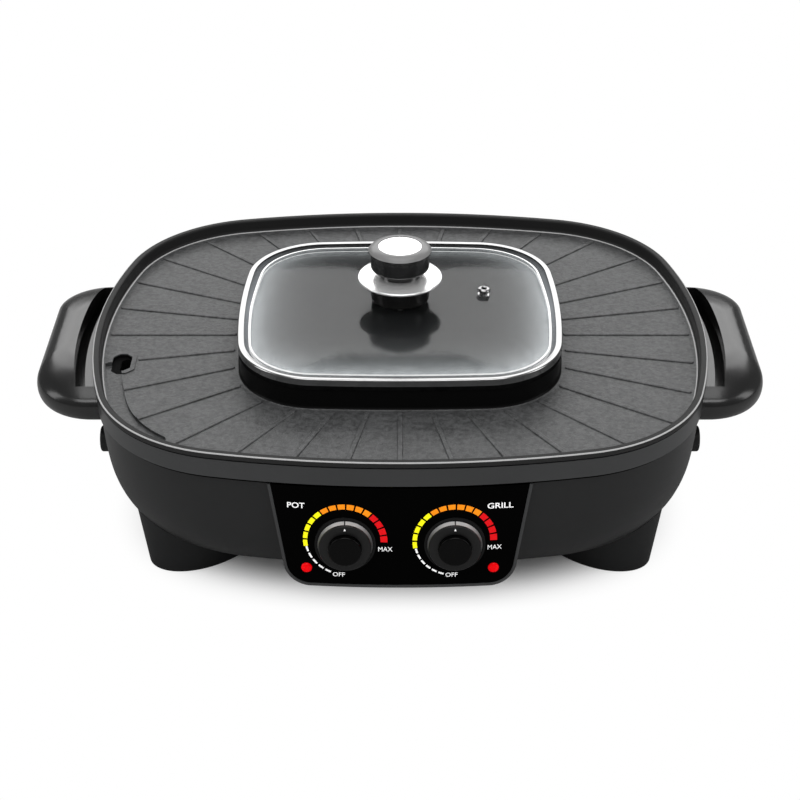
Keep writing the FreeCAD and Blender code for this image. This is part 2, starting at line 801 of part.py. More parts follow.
def grill_pan():
    """Die-cast pan: rolled lip, side wall, deck with ribs, and the collar that carries the pot."""
    tray = BODY.inset(TRAY_INSET)
    collar = LID.inset(-COLLAR_OUTSET)
    bore = LID.inset(COLLAR_WALL - COLLAR_OUTSET)
    lip = BODY.ring(tray, BAND_TOP, LIP_TOP)
    lip = lip.makeFillet(LIP_ROUND_TOP, edges_at(lip, LIP_TOP))
    outer_under = [edge for edge in edges_at(lip, BAND_TOP) if edge.BoundBox.DiagonalLength > 0]
    outer_under = [edge for edge in outer_under if on_outline(edge, BODY)]
    lip = lip.makeFillet(LIP_ROUND_UNDER, outer_under)
    block = BODY.inset(PAN_WALL_INSET).solid(DECK_UNDER, LIP_TOP - LIP_ROUND_TOP)
    block = block.fuse(BODY.inset(BAND_LAND_INSET).solid(BAND_TOP, LIP_TOP - LIP_ROUND_TOP))
    cavity = tray.ring(collar, DECK_TOP, LIP_TOP + OVERCUT)
    cavity = cavity.makeFillet(TRAY_FILLET, edges_at(cavity, DECK_TOP))
    over_collar = collar.inset(-1.0).solid(LIP_TOP - LIP_ROUND_TOP, LIP_TOP + OVERCUT)
    pan = block.cut(cavity).cut(over_collar)
    tower = collar.ring(bore, DECK_UNDER, COLLAR_TOP)
    tower = tower.makeFillet(COLLAR_ROUND, edges_at(tower, COLLAR_TOP))
    pan = pan.cut(bore.solid(DECK_UNDER - OVERCUT, COLLAR_TOP + OVERCUT))
    neck = drain_neck(DRAIN_NECK_WALL, DECK_UNDER - DRAIN_NECK_DEPTH, DECK_UNDER + 1)
    rim = drain_prism(DRAIN_RIM_WIDTH, DECK_UNDER + 1, DECK_TOP + DRAIN_RIM_HEIGHT)
    channel = oil_channel()
    keep_clear = channel.fuse(drain_prism(DRAIN_RIM_WIDTH + RIB_DRAIN_GAP, DECK_UNDER, LIP_TOP))
    ribs = [rib.cut(keep_clear) for rib in grill_ribs()]
    pan = joined([pan, lip, tower, neck, rim] + ribs)
    pan = pan.cut(channel)
    pan = pan.cut(drain_prism(0.0, DECK_UNDER + DRAIN_SILL, LIP_TOP + OVERCUT))
    pan = pan.cut(drain_neck(0.0, DECK_UNDER - DRAIN_NECK_DEPTH - OVERCUT, DECK_TOP))
    return pan


def on_outline(edge, outline):
    """Whether an edge's middle lies on an outline."""
    middle = edge.valueAt((edge.FirstParameter + edge.LastParameter) / 2)
    angle = math.degrees(math.atan2(middle.y, middle.x))
    return abs(math.hypot(middle.x, middle.y) - outline.reach(angle)) < 0.05


def cup_box(grow, bottom, top):
    return box(
        CUP_X - CUP_WIDTH / 2 - grow,
        CUP_X + CUP_WIDTH / 2 + grow,
        DRAIN_Y - CUP_LENGTH / 2 - grow,
        DRAIN_Y + CUP_LENGTH / 2 + grow,
        bottom,
        top,
    )


def drip_cup():
    """Small cup that hangs round the drain neck and pulls off downwards."""
    top = DECK_UNDER - SEAT_GAP
    bottom = top - CUP_DEPTH
    outside = cup_box(0.0, bottom, top)
    upright = [edge for edge in outside.Edges if edge.BoundBox.ZLength > CUP_DEPTH / 2]
    outside = outside.makeFillet(CUP_ROUND, upright)
    inside = cup_box(-CUP_WALL, bottom + CUP_WALL, top + OVERCUT)
    upright = [edge for edge in inside.Edges if edge.BoundBox.ZLength > CUP_DEPTH / 2]
    inside = inside.makeFillet(CUP_ROUND - CUP_WALL, upright)
    return outside.cut(inside)


# ---------------------------------------------------------------- pot and lid


def pot_block(extra, floor, corner):
    """A straight-sided tub with a rounded bottom edge, open upwards."""
    bottom = POT_BOTTOM + floor
    block = LID.inset(POT_BODY_INSET + extra).solid(bottom, POT_TOP)
    return block.makeFillet(corner, edges_at(block, bottom))


def inner_pot():
    """The pot: a deep non-stick bowl whose flange rests on the collar."""
    flange = LID.inset(-POT_FLANGE_OUTSET)
    rim = flange.solid(COLLAR_TOP, POT_TOP)
    rim = rim.makeFillet(POT_FLANGE_ROUND, edges_at(rim, POT_TOP))
    hull = pot_block(0.0, 0.0, POT_CORNER)
    hull = hull.common(flange.solid(POT_BOTTOM, COLLAR_TOP + 1))
    pot = rim.fuse(hull).removeSplitter()
    inside = pot_block(POT_WALL, POT_FLOOR, POT_CORNER - POT_WALL)
    mouth = LID.inset(POT_BODY_INSET + POT_WALL).solid(COLLAR_TOP, POT_TOP + OVERCUT)
    return pot.cut(inside.fuse(mouth))


def dome(drop, base):
    """The volume under the glass dome, lowered by drop and closed down to a base height."""
    steps = 8
    edge = LID.scaled(GLASS_DOME_START)
    wires = []
    for step in range(steps + 1):
        share = GLASS_DOME_START + (GLASS_DOME_END - GLASS_DOME_START) * step / steps
        wires.append(LID.scaled(share).wire(dome_height(share) - drop))
    cap = smooth_loft(wires)
    return cap.fuse(edge.solid(base, dome_height(GLASS_DOME_START) - drop))


def dome_height(share):
    """The height of the glass top where the lid's outline is scaled by share."""
    start = GLASS_DOME_START ** GLASS_DOME_POWER
    end = GLASS_DOME_END ** GLASS_DOME_POWER
    return GLASS_EDGE_TOP + GLASS_RISE * (start - share ** GLASS_DOME_POWER) / (start - end)


def vent_frame():
    """The vent's place on the glass and the direction that stands square to it."""
    step = 0.5

    def height(x, y):
        angle = math.degrees(math.atan2(y, x))
        return dome_height(math.hypot(x, y) / LID.reach(angle))

    slope_x = (height(VENT_X + step, VENT_Y) - height(VENT_X - step, VENT_Y)) / (2 * step)
    slope_y = (height(VENT_X, VENT_Y + step) - height(VENT_X, VENT_Y - step)) / (2 * step)
    place = Vector(VENT_X, VENT_Y, height(VENT_X, VENT_Y))
    return FreeCAD.Placement(place, FreeCAD.Rotation(ALONG_Z, Vector(-slope_x, -slope_y, 1)))


def lid_glass():
    """Tempered glass: a flat edge that the rim holds, and a low dome with two holes."""
    plate = LID.inset(GLASS_EDGE_INSET).solid(GLASS_UNDER, GLASS_EDGE_TOP)
    glass = plate.fuse(dome(0.0, GLASS_UNDER))
    glass = glass.cut(dome(GLASS_THICKNESS, GLASS_UNDER - OVERCUT))
    glass = glass.cut(disc(KNOB_SCREW_RADIUS + KNOB_HOLE_CLEARANCE, GLASS_UNDER, GLASS_TOP + OVERCUT))
    hole = disc(VENT_BARREL_RADIUS + SCREW_FIT, -GLASS_THICKNESS * 3, GLASS_THICKNESS * 3)
    hole.Placement = vent_frame()
    return glass.cut(hole).removeSplitter()


def lid_rim():
    """Steel band rolled round the glass edge."""
    band = LID.ring(LID.inset(LID_RIM_WIDTH), POT_TOP, LID_RIM_TOP)
    outer = [edge for edge in edges_at(band, LID_RIM_TOP) if on_outline(edge, LID)]
    band = band.makeFillet(LID_RIM_ROUND, outer)
    return band.cut(LID.inset(GLASS_EDGE_INSET).solid(GLASS_UNDER, GLASS_EDGE_TOP))


def vent_grommet():
    """Metal eyelet round the steam vent."""
    under = -GLASS_THICKNESS - VENT_FLANGE_GAP
    eyelet = turned(
        [
            (VENT_HOLE_RADIUS, under - VENT_LIP),
            (VENT_RADIUS - 0.6, under - VENT_LIP),
            (VENT_RADIUS - 0.6, under),
            (VENT_BARREL_RADIUS, under),
            (VENT_BARREL_RADIUS, VENT_FLANGE_GAP),
            (VENT_RADIUS, VENT_FLANGE_GAP),
            (VENT_HOLE_RADIUS, VENT_LIP + 0.3, (VENT_RADIUS + VENT_HOLE_RADIUS) / 2, VENT_LIP + 0.75),
        ]
    )
    eyelet.Placement = vent_frame()
    return eyelet


def knob_foot():
    """Black spacer between the glass and the chrome flange."""
    r = KNOB_FOOT_RADIUS
    low = GLASS_TOP
    high = GLASS_TOP + KNOB_FOOT_HEIGHT
    bore = KNOB_SCREW_RADIUS + SCREW_FIT
    return turned(
        [
            (bore, low),
            (r - KNOB_FOOT_ROUND, low),
            (r, low + KNOB_FOOT_ROUND, r - 0.3 * KNOB_FOOT_ROUND, low + 0.3 * KNOB_FOOT_ROUND),
            (r, high - 1.0),
            (r - 1.0, high, r - 0.3, high - 0.3),
            (bore, high),
        ]
    )


KNOB_FLANGE_BASE = GLASS_TOP + KNOB_FOOT_HEIGHT
KNOB_BODY_BASE = KNOB_FLANGE_BASE + KNOB_FLANGE_HEIGHT + KNOB_NECK_HEIGHT
KNOB_RING_BASE = KNOB_BODY_BASE + KNOB_BODY_HEIGHT
KNOB_TOP = KNOB_RING_BASE + KNOB_RING_HEIGHT


def knob_flange():
    """Polished flange, dished up towards the neck."""
    r = KNOB_FLANGE_RADIUS
    low = KNOB_FLANGE_BASE
    rim = low + KNOB_FLANGE_EDGE
    high = low + KNOB_FLANGE_HEIGHT
    bore = KNOB_SCREW_RADIUS + SCREW_FIT
    mid = (r + KNOB_NECK_RADIUS) / 2
    return turned(
        [
            (bore, low),
            (r - 1.0, low),
            (r - 1.0, rim, r, (low + rim) / 2),
            (KNOB_NECK_RADIUS, high, mid, rim + (high - rim) * 0.62),
            (bore, high),
        ]
    )


def knob_body():
    """Black grip: a neck on the flange, then the drum that the fingers hold."""
    r = KNOB_BODY_RADIUS
    neck_low = KNOB_FLANGE_BASE + KNOB_FLANGE_HEIGHT
    low = KNOB_BODY_BASE
    high = KNOB_RING_BASE
    bore = KNOB_SCREW_RADIUS + SCREW_FIT
    depth = neck_low + KNOB_SCREW_GRIP
    return turned(
        [
            (bore, neck_low),
            (KNOB_NECK_RADIUS, neck_low),
            (KNOB_NECK_RADIUS, low),
            (r - KNOB_BODY_ROUND, low),
            (r - 0.3, low + KNOB_BODY_ROUND, r - 0.45 * KNOB_BODY_ROUND, low + 0.3 * KNOB_BODY_ROUND),
            (r - 0.3, high - 2.2),
            (r, high - 1.8),
            (r, high),
            (0, high),
            (0, depth),
            (bore, depth),
        ]
    )


def knob_ring():
    """Grey bevelled ring on top of the grip."""
    r = KNOB_RING_RADIUS
    low = KNOB_RING_BASE
    high = KNOB_TOP
    seat = high - KNOB_DISC_SINK
    inner = KNOB_DISC_RADIUS + KNOB_RING_FIT
    under = KNOB_RING_UNDER
    return turned(
        [
            (0, low),
            (KNOB_BODY_RADIUS + KNOB_RING_FIT, low),
            (r, low + under, r - 0.3 * under, low + 0.3 * under),
            (r, low + KNOB_RING_SIDE),
            (inner + KNOB_RING_LAND, high, r - KNOB_RING_BULGE_IN, high - KNOB_RING_BULGE_DOWN),
            (inner, high),
            (inner, seat),
            (0, seat),
        ]
    )


def knob_disc():
    """Bright metal disc let into the ring."""
    low = KNOB_TOP - KNOB_DISC_SINK
    r = KNOB_DISC_RADIUS
    flat = r * 0.1
    high = KNOB_TOP + 0.3
    return turned(
        [
            (0, low),
            (r, low),
            (r, KNOB_TOP - 0.3),
            (flat, high, r * 0.6, KNOB_TOP + 0.12),
            (0, high),
        ]
    )


def knob_washer():
    """Washer under the glass, below the knob."""
    top = GLASS_TOP - GLASS_THICKNESS
    inner = KNOB_SCREW_RADIUS + SCREW_FIT
    washer = disc(KNOB_WASHER_RADIUS, top - KNOB_WASHER_HEIGHT, top)
    return washer.cut(disc(inner, top - KNOB_WASHER_HEIGHT, top))


def knob_screw():
    """Screw from under the glass up into the grip."""
    head = GLASS_TOP - GLASS_THICKNESS - KNOB_WASHER_HEIGHT
    tip = KNOB_FLANGE_BASE + KNOB_FLANGE_HEIGHT + KNOB_SCREW_GRIP - KNOB_SCREW_END_GAP
    return screw(Vector(0, 0, head), ALONG_Z, KNOB_SCREW_RADIUS, tip - head)


# ---------------------------------------------------------------- housing


def drip_cup_room():
    """The space that the drip cup needs on its way down."""
    return cup_box(CUP_CLEARANCE, DECK_UNDER - CUP_ROOM_DEPTH, DECK_UNDER + OVERCUT)


def body_screw_spots():
    """Where the body screws pass through the ledge: round the body and close beside the pod."""
    ring = BODY.inset(SHELL_INSET + SHELL_WALL + SCREW_HEAD_RADIUS + BODY_SCREW_CLEARANCE)
    beside_pod = PANEL_HALF_TOP + POD_BORDER + BODY_SCREW_POD_GAP
    front = [ring.front_point(side * beside_pod, 0) for side in (-1, 1)]
    return [ring.point(angle, 0) for angle in BODY_SCREW_ANGLES] + front


def upper_band():
    """Moulded band under the pan's lip, with the inner ring that stands on the lower shell."""
    outer = BODY.inset(BAND_INSET)
    inner = BODY.inset(BAND_INSET + BAND_WALL)
    land = BODY.inset(BAND_LAND_INSET)
    band = outer.ring(inner, BAND_BOTTOM, BAND_TOP)
    band = band.cut(BODY.inset(-1.0).ring(land, BAND_TOP - BAND_GROOVE, BAND_TOP + OVERCUT))
    ring_inner = BODY.inset(SHELL_INSET + SHELL_WALL + LEDGE_WIDTH)
    seat = BODY.inset(SHELL_INSET + BAND_RING_INSET).ring(ring_inner, SHELL_TOP, SHELL_TOP + BAND_RING_HEIGHT)
    step = BODY.inset(BAND_INSET + BAND_STEP_INSET)
    step = step.ring(inner.inset(BAND_STEP_WIDTH), BAND_BOTTOM, BAND_BOTTOM + BAND_STEP_HEIGHT)
    band = joined([band, seat, step])
    for spot in body_screw_spots():
        top = SHELL_TOP + BODY_SCREW_HOLE
        band = band.cut(disc(SCREW_RADIUS + SCREW_FIT, SHELL_TOP - 1, top, spot.x, spot.y))
    return band.cut(drip_cup_room())


def handle_screw_spot(side):
    """The point of the handle screw's axis where its head sits, on the right-hand side."""
    reach = BODY_HALF_WIDTH - SHELL_INSET - HANDLE_SCREW_SETBACK
    return Vector(reach, side * HANDLE_SCREW_Y, LIP_TOP - HANDLE_SCREW_DROP)


def lower_shell():
    """The deep lower half of the housing."""
    shell = SHELL_OUTSIDE.cut(SHELL_INSIDE)
    ledge_outer = BODY.inset(SHELL_INSET + SHELL_WALL - 1.0)
    ledge_inner = BODY.inset(SHELL_INSET + SHELL_WALL + LEDGE_WIDTH)
    ledge = ledge_outer.ring(ledge_inner, SHELL_TOP - LEDGE_THICKNESS, SHELL_TOP)
    bosses = []
    for side in (-1, 1):
        spot = handle_screw_spot(side)
        boss = rod(HANDLE_BOSS_RADIUS, spot, spot + ALONG_X * HANDLE_BOSS_LENGTH).common(SHELL_OUTSIDE)
        bosses.append(boss)
        bosses.append(mirrored(boss))
    inlet_half_x = INLET_WIDTH / 2 + INLET_BOSS_BORDER
    inlet_half_z = INLET_HEIGHT / 2 + INLET_BOSS_BORDER
    inlet_boss = box(
        -inlet_half_x,
        inlet_half_x,
        inlet_face() - INLET_BOSS_DEPTH,
        inlet_face(),
        INLET_Z - inlet_half_z,
        INLET_Z + inlet_half_z,
    )
    along_y = [edge for edge in inlet_boss.Edges if edge.BoundBox.YLength > INLET_BOSS_DEPTH / 2]
    inlet_boss = inlet_boss.makeFillet(INLET_BOSS_ROUND, along_y)
    shell = joined([shell, ledge, inlet_boss] + bosses)
    for spot in body_screw_spots():
        hole = disc(SCREW_RADIUS + SCREW_FIT, SHELL_TOP - LEDGE_THICKNESS - 1, SHELL_TOP + 1, spot.x, spot.y)
        shell = shell.cut(hole)
    for side in (-1, 1):
        spot = handle_screw_spot(side)
        hole = rod(HANDLE_SCREW_RADIUS + SCREW_FIT, spot - ALONG_X, spot + ALONG_X * HANDLE_SCREW_HOLE)
        shell = shell.cut(hole).cut(mirrored(hole))
        plug_start = plug_spot(side, -2 * PLUG_DEPTH)
        plug_hole = rod(PLUG_STEM_RADIUS + PLUG_FIT, plug_start, plug_spot(side, PLUG_DEPTH))
        shell = shell.cut(plug_hole)
    shell = shell.cut(
        box(
            -INLET_WIDTH / 2 - INLET_FIT,
            INLET_WIDTH / 2 + INLET_FIT,
            inlet_face() - INLET_LENGTH - INLET_BOSS_DEPTH,
            inlet_face() + 1.0,
            INLET_Z - INLET_HEIGHT / 2 - INLET_FIT,
            INLET_Z + INLET_HEIGHT / 2 + INLET_FIT,
        )
    )
    seat_x = INLET_WIDTH / 2 + INLET_FLANGE + SEAT_GAP
    seat_z = INLET_HEIGHT / 2 + INLET_FLANGE + SEAT_GAP
    shell = shell.cut(
        box(-seat_x, seat_x, inlet_face(), BODY_HALF_DEPTH, INLET_Z - seat_z, INLET_Z + seat_z)
    )
    shell = shell.cut(pod_placed(pod_prism(POD_BORDER + SEAT_GAP, POD_DEPTH * 3)))
    opening = SHELL_FLOOR_OUTLINE.inset(COVER_OPENING)
    rebate = SHELL_FLOOR_OUTLINE.inset(COVER_LIP - COVER_GAP)
    shell = shell.cut(opening.solid(BODY_CLEARANCE - 1, BODY_CLEARANCE + SHELL_FLOOR + 1))
    shell = shell.cut(rebate.solid(BODY_CLEARANCE - 1, COVER_TOP))
    for spot in cover_screw_spots():
        hole = disc(SCREW_RADIUS + SCREW_FIT, COVER_TOP - 1, COVER_TOP + SHELL_FLOOR, spot.x, spot.y)
        shell = shell.cut(hole)
    for centre, boss in foot_places():
        shell = shell.cut(disc(SCREW_RADIUS + SCREW_FIT, 0, BODY_CLEARANCE + SHELL_FLOOR + 1, boss.x, boss.y))
    return shell.cut(drip_cup_room())


def cover_screw_spots():
    """Where the cover screws enter the lip round the opening."""
    ring = SHELL_FLOOR_OUTLINE.inset((COVER_LIP + COVER_OPENING) / 2)
    return [ring.point(angle, 0) for angle in COVER_SCREW_ANGLES]


def bottom_cover():
    """Flat cover under the base, with vent slots and screw holes."""
    cover = SHELL_FLOOR_OUTLINE.inset(COVER_LIP).solid(BODY_CLEARANCE, COVER_TOP)
    for spot in cover_screw_spots():
        cover = cover.cut(disc(SCREW_RADIUS + SCREW_FIT, 0, COVER_TOP + 1, spot.x, spot.y))
    half = VENT_SLOT_WIDTH / 2
    for row in range(VENT_SLOT_ROWS):
        y = (row - (VENT_SLOT_ROWS - 1) / 2) * VENT_SLOT_PITCH
        for side in (-1, 1):
            near = side * VENT_SLOT_LENGTH * 0.2
            far = side * VENT_SLOT_LENGTH * 1.2
            low = min(near, far)
            high = max(near, far)
            slot = box(low, high, y - half, y + half, BODY_CLEARANCE - 1, COVER_TOP + 1)
            slot = slot.fuse(disc(half, BODY_CLEARANCE - 1, COVER_TOP + 1, low, y))
            slot = slot.fuse(disc(half, BODY_CLEARANCE - 1, COVER_TOP + 1, high, y))
            cover = cover.cut(slot)
    return cover


def body_screws():
    head = SHELL_TOP - LEDGE_THICKNESS
    return [
        screw(Vector(s.x, s.y, head), ALONG_Z, SCREW_RADIUS, BODY_SCREW_LENGTH)
        for s in body_screw_spots()
    ]


def cover_screws():
    return [
        screw(Vector(s.x, s.y, BODY_CLEARANCE), ALONG_Z, SCREW_RADIUS, COVER_THICKNESS + COVER_SCREW_GRIP)
        for s in cover_screw_spots()
    ]


# ---------------------------------------------------------------- handles


def quarter(level, power):
    """How far a superellipse quarter has come in at a share of its height."""
    return 1 - (1 - level ** power) ** (1 / power)


def handle_section(level):
    """The handle's plan outline at one level, from -1 at the underside over 0 at the waist to 1
    on top: straight sides with rounded outer corners."""
    if level > 0:
        z = HANDLE_WAIST + (HANDLE_TOP - HANDLE_WAIST) * level
        inward_x = HANDLE_TOP_SLOPE_X * quarter(level, HANDLE_TOP_POWER_X)
        inward_y = HANDLE_TOP_SLOPE_Y * quarter(level, HANDLE_TOP_POWER_Y)
    else:
        z = HANDLE_WAIST + (HANDLE_WAIST - HANDLE_BOTTOM) * level
        inward_x = HANDLE_UNDER_ROUND * quarter(-level, HANDLE_UNDER_POWER)
        inward_y = inward_x
    half = HANDLE_HALF_LENGTH - inward_y
    reach = BODY_HALF_WIDTH + HANDLE_REACH - inward_x
    corner = HANDLE_CORNER_RADIUS * half / HANDLE_HALF_LENGTH
    root = BODY_HALF_WIDTH - HANDLE_ROOT_DEPTH
    slant = corner * (1 - math.sqrt(0.5))
    edges = [
        Part.LineSegment(Vector(root, -half, z), Vector(reach - corner, -half, z)).toShape(),
        arc(
            Vector(reach - corner, -half, z),
            Vector(reach - slant, slant - half, z),
            Vector(reach, corner - half, z),
        ),
        Part.LineSegment(Vector(reach, corner - half, z), Vector(reach, half - corner, z)).toShape(),
        arc(
            Vector(reach, half - corner, z),
            Vector(reach - slant, half - slant, z),
            Vector(reach - corner, half, z),
        ),
        Part.LineSegment(Vector(reach - corner, half, z), Vector(root, half, z)).toShape(),
        Part.LineSegment(Vector(root, half, z), Vector(root, -half, z)).toShape(),
    ]
    return Part.Wire(edges)


def handle_right():
    """U-shaped grip with its mounting plate, rounded like a pebble, with a finger slot
    that is closed by a thin web below."""
    turns = [math.radians(90.0 * step / HANDLE_STEPS) for step in range(HANDLE_STEPS + 1)]
    levels = [math.sin(turn) ** (2 / HANDLE_TOP_POWER_X) for turn in turns]
    under = [-math.sin(turn) ** (2 / HANDLE_UNDER_POWER) for turn in reversed(turns[1:])]
    handle = smooth_loft([handle_section(level) for level in under + levels])
    low = HANDLE_BOTTOM + HANDLE_WEB
    high = HANDLE_TOP + OVERCUT
    plate = BODY.inset(-HANDLE_PLATE_OUTSET)
    slot = BODY.inset(-HANDLE_SLOT_OUTSET)
    flare = BODY.inset(-HANDLE_SLOT_OUTSET - HANDLE_SLOT_FLARE)
    gap = Part.makeLoft([flare.wire(low), slot.wire(HANDLE_PLATE_TOP)], True, True)
    gap = gap.fuse(slot.solid(low, high))
    gap = gap.cut(plate.solid(low - 1, HANDLE_PLATE_TOP))
    half = HANDLE_SLOT_HALF_LENGTH
    gap = gap.common(box(BODY_HALF_WIDTH / 2, FAR, -half, half, low - 1, high))
    handle = handle.cut(gap)
    handle = handle.cut(BODY.inset(BAND_INSET).solid(SHELL_TOP, high))
    handle = handle.cut(BODY.inset(-SEAT_GAP).solid(BAND_TOP - BAND_GROOVE, high))
    handle = handle.cut(shell_hull(SEAT_GAP / 2))
    for side in (-1, 1):
        spot = handle_screw_spot(side)
        handle = handle.cut(rod(HANDLE_SCREW_RADIUS + SCREW_FIT, spot, spot + ALONG_X * HANDLE_SCREW_HOLE))
    return handle


def handle_screws():
    screws = []
    for side in (-1, 1):
        one = screw(handle_screw_spot(side), ALONG_X, HANDLE_SCREW_RADIUS, HANDLE_SCREW_LENGTH)
        screws.append(one)
        screws.append(mirrored(one))
    return screws


# ---------------------------------------------------------------- feet


def foot_places():
    """Each foot's centre and, nearer the middle, the centre of its screw boss."""
    places = []
    for side_x, side_y in ((-1, -1), (1, -1), (-1, 1), (1, 1)):
        centre_x = side_x * (SHELL_FLOOR_OUTLINE.half_width - FOOT_SIDE_INSET)
        centre_y = side_y * (SHELL_FLOOR_OUTLINE.half_depth - FOOT_FRONT_INSET)
        centre = Vector(centre_x, centre_y, 0)
        turn = math.radians(FOOT_ANGLE)
        inward = Vector(-side_x * math.cos(turn), -side_y * math.sin(turn), 0)
        places.append((centre, centre + inward * (FOOT_HALF_LENGTH * FOOT_BOSS_SHARE)))
    return places


def foot_ellipse(centre, grow, z):
    """The foot's plan, with its long axis towards the corner of the body."""
    angle = FOOT_ANGLE if centre.x * centre.y > 0 else -FOOT_ANGLE
    edge = Part.Ellipse(ORIGIN, FOOT_HALF_LENGTH + grow, FOOT_HALF_WIDTH + grow).toShape()
    edge.Placement = FreeCAD.Placement(Vector(centre.x, centre.y, z), FreeCAD.Rotation(ALONG_Z, angle))
    return Part.Wire(edge)


def foot(centre, boss):
    """A hollow tapered foot whose top follows the shell."""
    outside = Part.makeLoft(
        [foot_ellipse(centre, 0.0, FOOT_PAD_PROUD), foot_ellipse(centre, FOOT_SPREAD, FOOT_TOP_Z)], True, True
    )
    seat_z = FOOT_PAD_HEIGHT
    recess = Part.Face(foot_ellipse(centre, SEAT_GAP - FOOT_PAD_INSET, 0)).extrude(Vector(0, 0, seat_z))
    hollow = Part.makeLoft(
        [
            foot_ellipse(centre, -FOOT_PAD_INSET - FOOT_WALL, 0),
            foot_ellipse(centre, FOOT_SPREAD - FOOT_WALL, FOOT_TOP_Z),
        ],
        True,
        True,
    )
    hollow = hollow.cut(shell_hull(FOOT_WALL))
    hollow = hollow.cut(disc(FOOT_BOSS_RADIUS, BODY_CLEARANCE - FOOT_BOSS_DEPTH, FOOT_TOP_Z, boss.x, boss.y))
    body = outside.cut(shell_hull(SEAT_GAP / 3)).cut(recess).cut(hollow)
    bore_bottom = BODY_CLEARANCE - FOOT_BOSS_DEPTH + FOOT_BOSS_FLOOR
    return body.cut(disc(SCREW_RADIUS + SCREW_FIT, bore_bottom, FOOT_TOP_Z, boss.x, boss.y))


def foot_pad(centre):
    """Rubber pad let into the foot."""
    return Part.Face(foot_ellipse(centre, -FOOT_PAD_INSET, 0)).extrude(Vector(0, 0, FOOT_PAD_HEIGHT))


def foot_screws():
    head = BODY_CLEARANCE + SHELL_FLOOR
    length = SHELL_FLOOR + FOOT_BOSS_DEPTH - 2 * FOOT_BOSS_FLOOR
    bosses = [boss for centre, boss in foot_places()]
    return [screw(Vector(boss.x, boss.y, head), ALONG_Z * -1, SCREW_RADIUS, length) for boss in bosses]


# ---------------------------------------------------------------- control pod


def pod_polygon(border):
    """The pod's front outline, grown by a border at its sides and bottom."""
    slope = (PANEL_HALF_TOP - PANEL_HALF_BOTTOM) / PANEL_HEIGHT
    stretch = math.hypot(1.0, slope)
    top = POD_TOP
    bottom = POD_TOP - PANEL_HEIGHT - border
    half_top = PANEL_HALF_TOP + border * stretch
    half_bottom = PANEL_HALF_BOTTOM + border * stretch - slope * border
    return [(-half_top, top), (-half_bottom, bottom), (half_bottom, bottom), (half_top, top)]


def pod_prism(border, depth):
    """The pod's outline pushed back from in front of the face, with rounded lower corners."""
    front = -BODY_HALF_DEPTH - 20.0
    points = [Vector(x, front, z) for x, z in pod_polygon(border)]
    block = prism(points, Vector(0, 20.0 + depth, 0))
    lower = []
    for edge in block.Edges:
        bounds = edge.BoundBox
        if bounds.YLength > depth and bounds.ZMax < POD_TOP - PANEL_HEIGHT / 2:
            lower.append(edge)
    return block.makeFillet(PANEL_CORNER_RADIUS + border, lower)


def pod_face(outset):
    """A tall cylinder whose front follows the body's front arc, moved out by an amount."""
    radius = BODY_FRONT_RADIUS - BAND_INSET + outset
    centre = Vector(0, BODY_FRONT_RADIUS - BODY_HALF_DEPTH, POD_TOP - PANEL_HEIGHT - 30.0)
    return Part.makeCylinder(radius, PANEL_HEIGHT + 60.0, centre)


def pod_face_y(x, outset):
    """The place of that face at x."""
    radius = BODY_FRONT_RADIUS - BAND_INSET + outset
    return BODY_FRONT_RADIUS - BODY_HALF_DEPTH - math.sqrt(radius * radius - x * x)


def pod_placed(shape):
    """Tilts a piece of the pod about the pod's top edge, so that its face looks slightly up."""
    copy = shape.copy()
    copy.rotate(POD_TURN_POINT, ALONG_X, -PANEL_TILT)
    return copy


def pod_spots(spacing, drop):
    """Left and right places on the face, a distance below the pod's top."""
    return [Vector(side * spacing / 2, 0, POD_TOP - drop) for side in (-1, 1)]


def control_housing():
    """Matt pod that frames the control panel."""
    body = pod_prism(POD_BORDER, POD_DEPTH).common(pod_face(POD_PROUD))
    pocket = pod_prism(POD_CLEARANCE, POD_DEPTH).cut(pod_face(-PANEL_THICKNESS))
    through = pod_prism(-POD_LEDGE, POD_DEPTH + 1)
    over = box(-FAR, FAR, -FAR, FAR, POD_TOP - POD_LEDGE, POD_TOP + 1)
    through = through.cut(over)
    return pod_placed(body.cut(pocket).cut(through))


def pad_front():
    """The flat front of the round pads behind the dials."""
    return pod_face_y(DIAL_SPACING / 2 - DIAL_PAD_RADIUS, 0.0) - PAD_PROUD


def control_panel():
    """Glossy curved panel with two flat round pads, and holes for shafts and lamps."""
    panel = pod_prism(0.0, POD_DEPTH).common(pod_face(0.0)).cut(pod_face(-PANEL_THICKNESS))
    shapes = [panel]
    for spot in pod_spots(DIAL_SPACING, DIAL_DROP):
        back = pod_face_y(DIAL_SPACING / 2, -PANEL_THICKNESS / 2)
        shapes.append(rod(DIAL_PAD_RADIUS, Vector(spot.x, pad_front(), spot.z), Vector(spot.x, back, spot.z)))
    panel = joined(shapes)
    for spot in pod_spots(DIAL_SPACING, DIAL_DROP):
        bore = SHAFT_RADIUS + SHAFT_HOLE_CLEARANCE
        panel = panel.cut(rod(bore, Vector(spot.x, -FAR, spot.z), Vector(spot.x, 0, spot.z)))
    for spot in pod_spots(LAMP_SPACING, LAMP_DROP):
        bore = LAMP_RADIUS + SCREW_FIT
        panel = panel.cut(rod(bore, Vector(spot.x, -FAR, spot.z), Vector(spot.x, 0, spot.z)))
    return pod_placed(panel)


def facing_front(profile, spot, front):
    """A turned piece whose axis points at the user, standing on the plane y = front."""
    piece = turned(profile)
    piece.Placement = FreeCAD.Placement(
        Vector(spot.x, front, spot.z), FreeCAD.Rotation(ALONG_Z, ALONG_Y * -1)
    )
    return pod_placed(piece)


